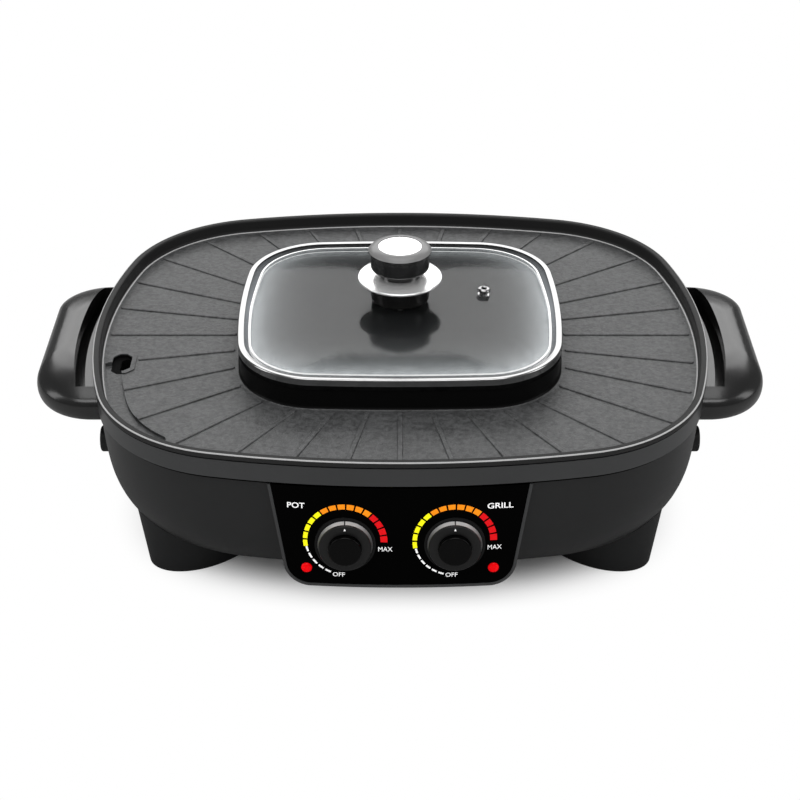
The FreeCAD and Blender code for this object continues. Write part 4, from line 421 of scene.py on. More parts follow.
paper = Finish("floor_paper")
spot = paper.place()
across = (spot.part(0).absolute() / SHADOW_HALF_WIDTH) ** SHADOW_POWER
along = (spot.part(1).absolute() / SHADOW_HALF_DEPTH) ** SHADOW_POWER
distance = (across + along) ** (1.0 / SHADOW_POWER)
spread = paper.node(
    "ShaderNodeMapRange",
    {"interpolation_type": "SMOOTHSTEP"},
    {"Value": distance, "From Min": SHADOW_FADE[0], "From Max": SHADOW_FADE[1]},
)
mirrored = grey(FLOOR_WHITE * FLOOR_IN_MIRRORS)
tone = paper.blend(paper.ray("Is Glossy Ray"), grey(FLOOR_WHITE), mirrored)
lit = paper.node("ShaderNodeBsdfDiffuse", {}, {"Color": tone})
plain = paper.node("ShaderNodeEmission", {}, {"Color": grey(1.0), "Strength": 1.0})
seen = (paper.ray("Is Camera Ray") + paper.ray("Is Transmission Ray")).at_most(1.0)
floor_mesh.materials.append(paper.done(paper.either(seen * spread, lit, plain)))
print("floor:", FLOOR_WHITE, "and in mirrors", round(mirrored[1], 3))

# %% [markdown]
# ## Satin plastic of the housing
#
# The shell and the band are moulded in black plastic. The mould is spark-eroded, so the skin has a
# very fine grain that spreads highlights. A second, wide noise varies the gloss a little, as
# handling does. Black plastic gives back only about two per cent of the light, so the specular
# level is low. Where the band sits on the shell, a strip of painted shade runs round the body
# along the seam.

# %% Satin plastic
def satin_plastic(
    name, level, roughness, grain=0.00035, depth=0.00003, specular=0.3, tint=0.03, painted_seam_shade=None
):
    """Grained plastic; between the two heights given for the seam it is painted in deep shade."""
    finish = Finish(name)
    wide = finish.noise(0.05, 3.0, 0.55)
    fine = finish.noise(grain, 2.0, 0.6)
    lit = finish.surface(
        Base_Color=finish.blend(wide, grey(level * 0.85, tint), grey(level * 1.15, tint)),
        Roughness=roughness - 0.05 + wide * 0.08 + fine * 0.04,
        Normal=finish.bump(fine, depth, 0.6),
        Specular_IOR_Level=specular,
    )
    # painted shade: a near-black strip along the seam between band and shell
    if painted_seam_shade:
        shaded = finish.surface(Base_Color=grey(0.001), Roughness=0.8, Specular_IOR_Level=0.02)
        deep = finish.place().part(2).within(mm(painted_seam_shade[0]), mm(painted_seam_shade[1]))
        lit = finish.either(deep, lit, shaded)
    return finish.done(lit)


# heights of the painted seam shade, in millimetres
SEAM = (104.5, 107.0)

housing_plastic = satin_plastic("housing_plastic", 0.009, 0.40, specular=0.36, painted_seam_shade=SEAM)
band_plastic = satin_plastic("band_plastic", 0.024, 0.36, specular=0.5, painted_seam_shade=SEAM)
pod_plastic = satin_plastic("pod_plastic", 0.028, 0.5, grain=0.0005, depth=0.00005, specular=0.4)
foot_plastic = satin_plastic("foot_plastic", 0.010, 0.5, specular=0.25)
inner_plastic = satin_plastic("inner_plastic", 0.03, 0.55)
dress(housing_plastic, "lower_shell")
dress(band_plastic, "upper_band")
dress(pod_plastic, "control_housing")
dress(foot_plastic, "bottom_cover", "side_plug_left", "side_plug_right")
dress(foot_plastic, "foot_front_left", "foot_front_right", "foot_rear_left", "foot_rear_right")
dress(inner_plastic, "power_inlet", "lamp_holders")

# %% [markdown]
# ## Glossy plastic of the grips
#
# The handles, the lid knob and the caps of the dials are polished. Real gloss is never flat: it
# has a slow orange-peel wave from the mould, and hair-fine scratches. The wave is a small bump,
# and the scratches make the gloss uneven.

# %% Glossy plastic
PEEL_DEPTH = 0.00012


def gloss_plastic(name, level, roughness, specular):
    """Polished plastic with a slow wave and fine scratches."""
    finish = Finish(name)
    peel = finish.noise(0.012, 1.0, 0.4)
    rubs = finish.noise(0.0012, 3.0, 0.7, finish.stretched(1.0, 0.15, 0.6))
    return finish.done(
        finish.surface(
            Base_Color=finish.blend(peel, grey(level * 0.9), grey(level * 1.1)),
            Roughness=roughness + rubs * 0.06,
            Normal=finish.bump(peel, PEEL_DEPTH, 0.5),
            Specular_IOR_Level=specular,
        )
    )


handle_plastic = gloss_plastic("handle_plastic", 0.006, 0.20, 0.65)
knob_plastic = gloss_plastic("knob_plastic", 0.007, 0.20, 0.7)
cap_plastic = gloss_plastic("cap_plastic", 0.001, 0.16, 0.12)
dress(handle_plastic, "handle_left", "handle_right")
dress(knob_plastic, "knob_foot", "knob_body")
dress(cap_plastic, "dial_cap_pot", "dial_cap_grill")

# %% [markdown]
# ## Ring of the lid knob
#
# The ring round the knob's disc is grey on its sloping top and black on its upright side. The grey
# is painted sheen, where the top faces the light from above. One finish holds both, and the height
# on the ring says which.

# %% Knob ring
SIDE_HEIGHT = 1.5

knob_ring = Finish("ring_plastic")
ring_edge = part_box("knob_ring")[0][2] + mm(SIDE_HEIGHT)
top_face = knob_ring.place().part(2) > ring_edge
grain = knob_ring.noise(0.0004, 2.0, 0.6)
# painted sheen on the upward top face; the upright side stays black
painted_top_sheen = knob_ring.blend(grain, grey(0.12), grey(0.15))
ring_plastic = knob_ring.done(
    knob_ring.surface(
        Base_Color=knob_ring.blend(top_face, grey(0.004), painted_top_sheen),
        Roughness=0.16 + top_face * 0.14 + grain * 0.04,
        Normal=knob_ring.bump(grain, 0.00002, 0.5),
    )
)
dress(ring_plastic, "knob_ring")

# %% [markdown]
# ## The panel's own drawing board
#
# What is printed on the panel is drawn on an upright, slightly curved board: x to the right, z up,
# and the depth from the panel's arc. One matrix then leans that board back by the panel's tilt.

# %% Panel board
PANEL_TOP = 105.7
PANEL_FACE_RADIUS = 609.1
PANEL_TILT = 3.3
PANEL_TOP_Y = -181.5
FACE_CENTRE_Y = 427.6
DIAL_X = 34.7
DIAL_DROP = 41.0
DIAL_Z = PANEL_TOP - DIAL_DROP
SCALE_DROP = 39.4
SCALE_Z = PANEL_TOP - SCALE_DROP
PAD_RADIUS = 19.4
PRINT_LIFT = 0.02
PRINT_THICKNESS = 0.06

hinge_point = Vector((0.0, mm(PANEL_TOP_Y) + MIDDLE_Y, mm(PANEL_TOP)))
lean = Matrix.Rotation(math.radians(-PANEL_TILT), 4, "X")
PANEL_BOARD = Matrix.Translation(hinge_point) @ lean @ Matrix.Translation(-hinge_point)


def face_y(x):
    """The depth of the panel's face at x, both in millimetres, on the board."""
    return FACE_CENTRE_Y - math.sqrt(PANEL_FACE_RADIUS ** 2 - x * x)


def board_radius(finish):
    """A finish's distance from the axis of the nearer dial, with the steps that lead to it: the
    place aside from the dial, the height above it and the depth on the board."""
    point = finish.place()
    back = point.part(1) - hinge_point.y
    up = point.part(2) - hinge_point.z
    tilt = math.radians(PANEL_TILT)
    above = back * math.sin(tilt) + up * math.cos(tilt) + mm(DIAL_DROP)
    aside = point.part(0).absolute() - mm(DIAL_X)
    deep = back * math.cos(tilt) - up * math.sin(tilt) + hinge_point.y
    return (aside ** 2.0 + above ** 2.0) ** 0.5, aside, above, deep


print("panel leans back", PANEL_TILT, "degrees; dial axes at x =", -DIAL_X, "and", DIAL_X, "mm")

# %% [markdown]
# ## Printed panel
#
# The control panel is a clear-lacquered black sheet. It is the blackest and smoothest surface on
# the cooker, with a trace of dust in the lacquer. A pad round each dial is a shade lighter.

# %% Panel lacquer
lacquer = Finish("panel_lacquer")
dust = lacquer.ramp(lacquer.noise(0.0009, 2.0, 0.7), (0.68, 0.0), (0.78, 1.0))
on_pad = board_radius(lacquer)[0] < mm(PAD_RADIUS)
black = lacquer.blend(dust, grey(0.0005), grey(0.002))
panel_lacquer = lacquer.done(
    lacquer.surface(
        Base_Color=lacquer.blend(on_pad, black, grey(0.010)),
        Roughness=0.08 + dust * 0.2,
        Normal=lacquer.bump(lacquer.noise(0.03, 1.0, 0.4), 0.00008, 0.3),
        Specular_IOR_Level=0.02,
    )
)
dress(panel_lacquer, "control_panel")

# %% [markdown]
# ## Non-stick coats
#
# The grill pan and the pot are die-cast aluminium under a sprayed coat. The coat on the deck is
# rough like fine stone, with pale flecks in it. The pot's coat is smoother and darker.

# %% Non-stick coats
def nonstick(finish, level, roughness, grain, depth, flecks, specular):
    """The shader of a sprayed coat that looks like fine stone."""
    wide = finish.noise(0.03, 3.0, 0.6)
    stone = finish.noise(grain, 4.0, 0.65)
    sparkle = finish.ramp(finish.noise(0.0007, 1.0, 0.5), (0.66, 0.0), (0.74, 1.0)) * flecks
    patch = (wide + stone * 3.0 - 1.5).share()
    shade = finish.blend(patch, grey(level * 0.55, 0.02), grey(level * 1.5, 0.02))
    return finish.surface(
        Base_Color=finish.blend(sparkle, shade, grey(0.16)),
        Roughness=roughness + wide * 0.12,
        Normal=finish.bump(stone, depth, 0.8),
        Specular_IOR_Level=specular,
    )


pot = Finish("pot_coat")
pot_shader = nonstick(
    pot, level=0.003, roughness=0.55, grain=0.0040, depth=0.00001, flecks=0.0, specular=0.04
)
pot_coat = pot.done(pot_shader)
dress(pot_coat, "inner_pot")

# %% [markdown]
# ## Coat of the grill pan
#
# Only the deck feels like stone. The lip, its inner wall and the collar are smooth and darker, and
# the drain is matt. On the collar, under the edge of the lid, and in the drain hole the dark is
# painted shade. Thin bright lines along the lip's outer edge and the foot of its inner wall are
# painted highlights. The pan is one casting, so its finish tells these zones apart by the distance
# from the outlines and by the height.

# %% Coat of the grill pan
LIP_TOP = 125.0
LIP_WIDTH = 5.5
LIP_EDGE_WIDTH = 1.15
LIP_EDGE_HEIGHT = 0.7
DECK_TOP = 115.5
WALL_FOOT_WIDTH = 0.8
WALL_FOOT_HEIGHT = 0.7
FOOT_LINE_INSET = 8.0
FOOT_LINE_LOW = 0.12
FOOT_LINE_HIGH = 0.5
COLLAR_OUTSET = 0.6
COLLAR_START = 0.5
DRAIN_X = -190.5
DRAIN_Y = -41.0
DRAIN_HALF_WIDTH = 6.7
DRAIN_HALF_LENGTH = 11.7
DRAIN_CORNER = 14.2
DRAIN_START = 0.1

pan = Finish("pan_coat")
point = pan.place()
height = point.part(2) - mm(DECK_TOP)
inset = BODY_OUTLINE.inset(point)
lip = (inset < mm(LIP_WIDTH + WALL_FOOT_WIDTH)) * (height > mm(WALL_FOOT_HEIGHT))
wall_foot_highlight = inset.within(mm(LIP_WIDTH), mm(FOOT_LINE_INSET))
wall_foot_highlight = wall_foot_highlight * height.within(mm(FOOT_LINE_LOW), mm(FOOT_LINE_HIGH))
lip_edge_highlight = (inset < mm(LIP_EDGE_WIDTH)) * (height > mm(LIP_TOP - LIP_EDGE_HEIGHT - DECK_TOP))
collar = (LID_OUTLINE.inset(point) > mm(-COLLAR_OUTSET)) * (height > mm(COLLAR_START))
across = (point.part(0) - mm(DRAIN_X)).absolute()
along = (point.part(1) - MIDDLE_Y - mm(DRAIN_Y)).absolute()
octagon = (across < mm(DRAIN_HALF_WIDTH)) * (along < mm(DRAIN_HALF_LENGTH))
octagon = octagon * (across + along < mm(DRAIN_CORNER))
drain = octagon * (height < mm(-DRAIN_START))
# painted highlights: the thin bright lines on the lip's outer edge and at the foot of its wall
painted_highlight = (wall_foot_highlight + lip_edge_highlight).share()
film = pan.noise(0.004, 2.0, 0.5)
# the lip and its wall take a darker coat; collar and drain hole get near-black painted shade
dark_coat_and_painted_shade = pan.blend(lip, grey(0.003), grey(0.017))
smooth = pan.surface(
    Base_Color=pan.blend(painted_highlight, dark_coat_and_painted_shade, grey(0.32)),
    Roughness=0.30 + film * 0.06 + drain * 0.5,
    Normal=pan.bump(film, 0.00001, 0.3),
    Specular_IOR_Level=0.06,
)
deck = nonstick(
    pan, level=0.042, roughness=0.42, grain=0.0030, depth=0.00055, flecks=0.5, specular=0.5
)
pan_coat = pan.done(pan.either((lip + wall_foot_highlight + collar + drain).share(), deck, smooth))
dress(pan_coat, "grill_pan")

# %% [markdown]
# ## Steel and chrome
#
# The small steel parts are drawn or pressed, so fine lines run along them. The flange under the
# knob and the disc on top of it are spun, so their lines are circles round the middle. The flange
# is chromed as well.

# %% Metals
LINE_DEPTH = 0.00001
RING_PITCH = 0.0004


def steel(name, level, roughness, lines):
    """Metal whose fine lines follow a stretched noise."""
    finish = Finish(name)
    brushed = finish.noise(0.0006, 2.0, 0.6, finish.stretched(*lines))
    wide = finish.noise(0.02, 2.0, 0.5)
    return finish.done(
        finish.surface(
            Base_Color=finish.blend(wide, grey(level * 0.94), grey(level)),
            Roughness=roughness + brushed * 0.08,
            Normal=finish.bump(brushed, LINE_DEPTH, 0.4),
            Metallic=1.0,
        )
    )


def spun(name, level, roughness, metal=1.0):
    """Metal turned on a lathe: rings about the Z axis."""
    finish = Finish(name)
    point = finish.place()
    radius = (point.part(0) ** 2.0 + (point.part(1) - MIDDLE_Y) ** 2.0) ** 0.5
    inputs = {"W": radius / RING_PITCH, "Scale": 1.0}
    rings = finish.node("ShaderNodeTexNoise", {"noise_dimensions": "1D"}, inputs)
    return finish.done(
        finish.surface(
            Base_Color=finish.blend(rings, grey(level * 0.93), grey(level)),
            Roughness=roughness + rings * 0.06,
            Normal=finish.bump(rings, LINE_DEPTH, 0.3),
            Metallic=metal,
        )
    )


vent_steel = steel("vent_steel", 0.38, 0.10, lines=(1.0, 1.0, 8.0))
plain_steel = steel("plain_steel", 0.62, 0.28, lines=(1.0, 0.3, 1.0))
flange_chrome = spun("flange_chrome", 0.95, 0.20, metal=0.75)
disc_steel = spun("disc_steel", 0.92, 0.12)
dress(vent_steel, "vent_grommet")
dress(flange_chrome, "knob_flange")
dress(disc_steel, "knob_disc")
dress(plain_steel, "knob_screw", "knob_washer", "body_screws", "cover_screws", "handle_screws")
dress(plain_steel, "foot_screws", "shaft_pot", "shaft_grill")
dress(plain_steel, "grill_heater_clamps", "pot_heater_clamps")

# %% [markdown]
# ## Rim of the lid
#
# The rim is a strip of polished steel rolled round the edge of the glass. Its outer half mirrors
# the lamps. Its inner half leans towards the glass, so at the front it would mirror the black pot;
# there the finish paints that reflection as a darker base colour.

# %% Rim steel
RIM_OUTER_HALF = 2.7
RIM_DARK_FROM = 0.6
RIM_DARK_FADE = 0.3

rim = Finish("rim_steel")
point = rim.place()
# painted reflection: the rim's inner half turns dark towards the front
toward_front = ((LID_OUTLINE.forward(point) - RIM_DARK_FROM) / RIM_DARK_FADE).share()
painted_pot_reflection = (LID_OUTLINE.inset(point) > mm(RIM_OUTER_HALF)) * toward_front
brushed = rim.noise(0.0006, 2.0, 0.6, rim.stretched(1.0, 1.0, 8.0))
rim_steel = rim.done(
    rim.surface(
        Base_Color=rim.blend(painted_pot_reflection, grey(0.40), grey(0.06)),
        Roughness=0.10 + brushed * 0.08,
        Normal=rim.bump(brushed, LINE_DEPTH, 0.4),
        Metallic=1.0,
    )
)
dress(rim_steel, "lid_rim")

# %% [markdown]
# ## Lid glass
#
# A full glass shader would keep lamp light out of the pot, so the lid is a mix: clear where it is
# seen square, with a trace of mirror at a slant, as Fresnel's law says. Steam leaves a faint haze
# that is thickest near the rim. Next to the rim the glass bends down. Its reflection there is
# painted: grey at the sides and nearly black at the back, with a painted highlight, a thin bright
# line, where the bend ends.

# %% Glass
RIM_WIDTH = 4.2
HAZE_HALF_WIDTH = 104.0
HAZE_HALF_DEPTH = 96.0
BEND_WIDTH = 3.2
BEND_EXTRA_AT_BACK = 3.5
LINE_WIDTH = 1.4
MIRROR_STRENGTH = 0.06

glass = Finish("lid_glass_clear")
spot = glass.place()
across = (spot.part(0).absolute() / mm(HAZE_HALF_WIDTH)) ** 4.0
along = ((spot.part(1) - MIDDLE_Y).absolute() / mm(HAZE_HALF_DEPTH)) ** 4.0
edge = (across + along).at_most(1.4)
droplets = glass.noise(0.008, 4.0, 0.65)
haze = (edge ** 3.0 * 0.28 + edge * 0.05 + 0.004) * (droplets + 0.3)
inset = LID_OUTLINE.inset(spot)
front = LID_OUTLINE.forward(spot).share()
back = (LID_OUTLINE.forward(spot) * -1.0).share()
bend_end = back * mm(BEND_EXTRA_AT_BACK) + mm(RIM_WIDTH + BEND_WIDTH)
bend = (inset > mm(RIM_WIDTH)) * (inset < bend_end)
painted_bend_highlight = (inset > bend_end) * (inset < bend_end + mm(LINE_WIDTH))
# painted reflection on the bend, grey at the sides and nearly black at the back, and a painted
# highlight along its end
painted_bend_reflection = glass.blend(back, grey(0.22, 0.06), grey(0.012))
haze_and_painted_reflection = glass.blend(bend, (0.80, 0.85, 0.87, 1.0), painted_bend_reflection)
haze_and_painted_reflection = glass.blend(painted_bend_highlight, haze_and_painted_reflection, grey(0.95))
cover = haze * (1.0 - bend) + bend * (1.0 - front) * 0.75 + painted_bend_highlight * (0.8 - front * 0.65)
clear = glass.node("ShaderNodeBsdfTransparent", {}, {"Color": grey(0.97)})
haze_and_painted_light = glass.surface(Base_Color=haze_and_painted_reflection, Roughness=0.9, Specular_IOR_Level=0.0)
shine = glass.node("ShaderNodeBsdfGlossy", {}, {"Color": grey(1.0), "Roughness": 0.12})
mirror = glass.node("ShaderNodeFresnel", {}, {"IOR": 1.5}) * MIRROR_STRENGTH
pane = glass.either(cover.share(), clear, haze_and_painted_light)
lid_glass_clear = glass.done(glass.either(mirror, pane, shine))
dress(lid_glass_clear, "lid_glass")

# %% [markdown]
# ## Pilot lamps and rubber pads
#
# The pilot lamps are red lenses that glow a little. A faint cell pattern varies their red, as in a
# moulded lens. The pads under the feet are matt rubber, so the satin finish serves them too, with
# a coarser grain and almost no gloss.

# %% Lenses and rubber
lens = Finish("lamp_lens")
cells = lens.noise(0.0015, 1.0, 0.5)
lens_shade = lens.blend(cells, (0.55, 0.0, 0.001, 1.0), (0.68, 0.0, 0.003, 1.0))
lamp_lens = lens.done(
    lens.surface(
        Base_Color=lens_shade,
        Roughness=0.15 + cells * 0.05,
        Emission_Color=lens_shade,
        Emission_Strength=0.25,
        Specular_IOR_Level=0.1,
    )
)
rubber = satin_plastic(
    "pad_rubber", 0.018, 0.78, grain=0.0006, depth=0.00008, specular=0.25, tint=0.0
)
dress(lamp_lens, "lamp_pot", "lamp_grill")
for end in ("front", "rear"):
    dress(rubber, "foot_pad_" + end + "_left", "foot_pad_" + end + "_right")

# %% [markdown]
# ## The parts inside
#
# They show when the pan is lifted out. The heaters are steel tubes tinted by heat in patches of
# straw and blue. The shield and the drip cup are bare sheet, the small parts are ceramic or brass,
# and the leads run in sleeves of glass fibre.

# %% Parts inside
def mottled(name, first, second, roughness, metallic=0.0, size=0.006, depth=0.00005):
    """A plain body colour with a soft mottle and a fine grain."""
    finish = Finish(name)
    patches = finish.noise(size, 3.0, 0.6)
    fine = finish.noise(size / 10, 2.0, 0.6)
    return finish.done(
        finish.surface(
            Base_Color=finish.blend(patches, first, second),
            Roughness=roughness + patches * 0.08,
            Metallic=metallic,
            Normal=finish.bump(fine, depth),
        )
    )


tube = Finish("heater_sheath")
tints = tube.noise(0.03, 3.0, 0.6)
fine = tube.noise(0.0008, 2.0, 0.6)
heater_sheath = tube.done(
    tube.surface(
        Base_Color=tube.blend(tints, (0.22, 0.17, 0.12, 1.0), (0.20, 0.21, 0.26, 1.0)),
        Roughness=0.36 + fine * 0.1,
        Metallic=1.0,
        Normal=tube.bump(fine, 0.00003),
    )
)
shield_sheet = steel("shield_sheet", 0.68, 0.32, lines=(1.0, 0.1, 1.0))
cup_sheet = steel("cup_sheet", 0.7, 0.25, lines=(0.3, 1.0, 1.0))
ceramic = mottled("white_ceramic", (0.74, 0.71, 0.64, 1.0), (0.80, 0.78, 0.72, 1.0), 0.5)
brass = mottled("pin_brass", (0.70, 0.52, 0.22, 1.0), (0.78, 0.60, 0.28, 1.0), 0.28, metallic=1.0)
sleeve_tones = (0.45, 0.40, 0.33, 1.0), (0.55, 0.50, 0.42, 1.0)
sleeve = mottled("lead_sleeve", *sleeve_tones, 0.7, size=0.002, depth=0.0001)
dress(heater_sheath, "grill_heater", "pot_heater", "thermal_fuse")
dress(shield_sheet, "heat_shield")
dress(cup_sheet, "drip_cup")
dress(ceramic, "shield_spacers", "terminal_block", "thermostat_pot", "thermostat_grill")
dress(brass, "inlet_pins")
dress(sleeve, "internal_wiring")

# %% [markdown]
# ## Settling a printed piece
#
# What is printed is made as thin meshes on the drawing board. The place goes into the mesh, so
# the object itself stays at the origin.

# %% Settling a piece
def settle(mesh, name, material, body, matrix):
    """Makes a piece of a mesh; material is None where the mesh brings its own."""
    mesh.transform(matrix)
    build = bmesh.new()
    build.from_mesh(mesh)
    bmesh.ops.remove_doubles(build, verts=build.verts, dist=1e-7)
    bmesh.ops.recalc_face_normals(build, faces=build.faces)
    build.to_mesh(mesh)
    build.free()
    if material is not None:
        mesh.materials.clear()
        mesh.materials.append(material)
    piece = bpy.data.objects.new(name, mesh)
    bpy.context.collection.objects.link(piece)
    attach(piece, body)
    print(name, len(mesh.polygons), "faces on", body)
    return piece


# %% [markdown]
# ## Dials
#
# Each dial is charcoal plastic. Round its side a painted highlight, partly metallic, shows as a
# bright crescent at the top that fades down both sides, as light from above would fall. A dark
# notch crosses the crescent above the pointer. The finish works on the drawing board: it leans each
# point back upright and measures its distance from the dial's axis.

# %% Dial finish
RING_START = 1.7
RING_RADIUS = 15.5
NOTCH_HALF = 0.4

upright_board = PANEL_BOARD.inverted()
dial_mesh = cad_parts["dial_pot"].data
dial_face = min((upright_board @ vertex.co).y for vertex in dial_mesh.vertices)
dial = Finish("dial_plastic")
radius, aside, above, deep = board_radius(dial)
notch = (aside.absolute() < mm(NOTCH_HALF)) * (above > 0.0)
ring = (radius > mm(RING_RADIUS)) * (deep > dial_face + mm(RING_START)) * (1.0 - notch)
# painted highlight: brightest at the top of the side, fading towards both sides
upward = (above / mm(RING_RADIUS)).at_least(0.0) ** 3.0
painted_crescent = dial.blend(upward, grey(0.12), grey(0.55))
peel = dial.noise(0.0008, 2.0, 0.6)
body_shade = dial.blend(peel, grey(0.005), grey(0.008))
dial_plastic = dial.done(
    dial.surface(
        Base_Color=dial.blend(ring, body_shade, painted_crescent),
        Roughness=0.34 + peel * 0.06,
        Metallic=ring * 0.3,
        Normal=dial.bump(peel, 0.00002, 0.5),
        Specular_IOR_Level=0.3,
    )
)
dress(dial_plastic, "dial_pot", "dial_grill")
print("dial face at board depth", round(dial_face * 1000, 2), "mm")

# %% [markdown]
# ## Inks
#
# Screen-printed ink lies on the lacquer as a thin, slightly uneven film, less glossy than what it
# covers. Yellow, orange and red show rising heat, and white is for the words, the dashes and the
# pointers.

# %% Inks
def ink(name, colour):
    finish = Finish(name)
    film = finish.noise(0.0008, 2.0, 0.6)
    darker = tuple(channel * 0.9 for channel in colour[:3]) + (1.0,)
    print(name, colour[:3])
    return finish.done(
        finish.surface(
            Base_Color=finish.blend(film, darker, colour),
            Roughness=0.4 + film * 0.1,
            Normal=finish.bump(film, 0.00001),
            Specular_IOR_Level=0.1,
        )
    )


white_ink = ink("white_ink", (0.97, 0.97, 0.97, 1.0))
yellow_ink = ink("yellow_ink", (1.0, 0.95, 0.004, 1.0))
orange_ink = ink("orange_ink", (1.0, 0.28, 0.004, 1.0))
red_ink = ink("red_ink", (0.74, 0.0, 0.004, 1.0))

# %% [markdown]
# ## Heat scales
#
# Each dial has a scale of short blocks along an arc. They follow one rule, so a Geometry Nodes
# tree makes them. A tree is written here in the same way as a finish. Its inputs are declared
# first, and the modifier takes their values by each input's identifier, before it runs.

# %% Geometry Nodes tree
class Flow(NodeWriter):
    """A Geometry Nodes tree written in the same way as a finish."""

    def __init__(self, name):
        super().__init__(bpy.data.node_groups.new(name, "GeometryNodeTree"))
        self.inputs = {}

    def ask(self, kind, *names):
        for name in names:
            item = self.tree.interface.new_socket(name, in_out="INPUT", socket_type=kind)
            self.inputs[name] = item.identifier

    def begin(self):
        kind = "NodeSocketGeometry"
        self.tree.interface.new_socket("Geometry", in_out="OUTPUT", socket_type=kind)
        self.source = self.tree.nodes.new("NodeGroupInput")

    def given(self, name):
        return Wire(self, self.source.outputs[name])

    def run(self, name, values):
        """Runs the tree on an empty mesh and returns the result as a plain mesh."""
        carrier = bpy.data.objects.new(name, bpy.data.meshes.new(name))
        bpy.context.collection.objects.link(carrier)
        modifier = carrier.modifiers.new(name, "NODES")
        modifier.node_group = self.tree
        for key, value in values.items():
            modifier[self.inputs[key]] = value
        evaluated = carrier.evaluated_get(bpy.context.evaluated_depsgraph_get())
        mesh = bpy.data.meshes.new_from_object(evaluated)
        carrier.modifiers.remove(modifier)
        bpy.data.objects.remove(carrier)
        return mesh


# %% [markdown]
# ## A tree that bends a row of blocks round a dial
#
# The tree lays a row of points and puts a small block on each. Every point of a block knows its
# block's number, so one Set Position can bend the whole row: across the block becomes an angle, up
# the block becomes a radius, and the depth follows the curved face of the panel. The blocks get
# wider towards the hot end, and their ink changes twice.

# %% Scale tree
def scale_tree():
    flow = Flow("blocks_round_a_dial")
    flow.ask("NodeSocketInt", "Count", "First Second", "First Third")
    flow.ask("NodeSocketFloat", "Centre X", "Centre Z", "First Angle", "Pitch", "Fill")
    flow.ask("NodeSocketFloat", "Outer Radius", "First Width", "Last Width")
    flow.ask("NodeSocketFloat", "Face Radius", "Face Centre", "Lift", "Thickness")
    flow.ask("NodeSocketMaterial", "Ink A", "Ink B", "Ink C")
    flow.begin()
    given = flow.given
    row = flow.node("GeometryNodePoints", {}, {"Count": given("Count")})
    numbered = flow.node(
        "GeometryNodeStoreNamedAttribute",
        {"data_type": "FLOAT", "domain": "POINT"},
        {"Geometry": row, "Name": "number", "Value": flow.node("GeometryNodeInputIndex")},
    )
    cuts = {"Size": (1.0, 1.0, 1.0), "Vertices X": 6, "Vertices Y": 2, "Vertices Z": 2}
    block = flow.node("GeometryNodeMeshCube", {}, cuts)
    inputs = {"Points": numbered, "Instance": block}
    placed = flow.node("GeometryNodeInstanceOnPoints", {}, inputs)
    solid = flow.node("GeometryNodeRealizeInstances", {}, {"Geometry": placed})

    own = flow.node("GeometryNodeInputNamedAttribute", {"data_type": "FLOAT"}, {"Name": "number"})
    point = flow.node("GeometryNodeInputPosition")
    turn = given("First Angle") - (own + point.part(0) * given("Fill")) * given("Pitch")
    share = own / (given("Count") - 1.0)
    width = given("First Width") + (given("Last Width") - given("First Width")) * share
    radius = given("Outer Radius") - width * (0.5 - point.part(2))
    x = given("Centre X") + radius * turn.math("COSINE", turn)
    z = given("Centre Z") + radius * turn.math("SINE", turn)
    sink = (given("Face Radius") ** 2.0 - x * x) ** 0.5
    depth = given("Lift") + (point.part(1) + 0.5) * given("Thickness")
    y = given("Face Centre") - sink - depth
    spot = flow.node("ShaderNodeCombineXYZ", {}, {0: x, 1: y, 2: z})
    bent = flow.node("GeometryNodeSetPosition", {}, {"Geometry": solid, "Position": spot})

    inputs = {"Geometry": bent, "Material": given("Ink A")}
    inked = flow.node("GeometryNodeSetMaterial", {}, inputs)
    for first, name in (("First Second", "Ink B"), ("First Third", "Ink C")):
        chosen = own > (given(first) - 0.5)
        inputs = {"Geometry": inked, "Selection": chosen, "Material": given(name)}
        inked = flow.node("GeometryNodeSetMaterial", {}, inputs)
    flow.close("NodeGroupOutput", inked)
    return flow


scale_flow = scale_tree()
print("scale tree has", len(scale_flow.tree.nodes), "nodes")

# %% [markdown]
# ## The two scales
#
# Yellow blocks stand for gentle heat, orange for more and red for the most. The thin white dashes
# of the part towards OFF come from the same tree with other numbers. They run on from the first
# block the other way round, so their pitch is negative, and the grill has one dash more.

# %% The two scales
BLOCKS_RAISE = 0.5
HEAT_BLOCKS = 15
FIRST_ORANGE = 5
FIRST_RED = 11
HEAT_PITCH = 12.94
HEAT_FIRST = 185.5
HEAT_FILL = 0.80
HEAT_RADIUS = 26.8
HEAT_WIDTHS = (2.7, 4.4)
DASH_FIRST = 195.6
DASH_FILL = 0.72
DASH_RADIUS = 25.8
DASH_WIDTHS = (1.25, 1.25)
NO_CHANGES = (99, 99)
DASHES = {"pot": (5, 12.0), "grill": (6, 10.9)}


def scale_values(x, count, first, pitch, fill, radius, widths, inks, changes):
    return {
        "Count": count,
        "Centre X": mm(x),
        "Centre Z": mm(SCALE_Z + BLOCKS_RAISE),
        "First Angle": math.radians(first),
        "Pitch": math.radians(pitch),
        "Fill": fill,
        "Outer Radius": mm(radius),
        "First Width": mm(widths[0]),
        "Last Width": mm(widths[1]),
        "Face Radius": mm(PANEL_FACE_RADIUS),
        "Face Centre": mm(FACE_CENTRE_Y) + MIDDLE_Y,
        "Lift": mm(PRINT_LIFT),
        "Thickness": mm(PRINT_THICKNESS),
        "First Second": changes[0],
        "First Third": changes[1],
        "Ink A": inks[0],
        "Ink B": inks[1],
        "Ink C": inks[2],
    }


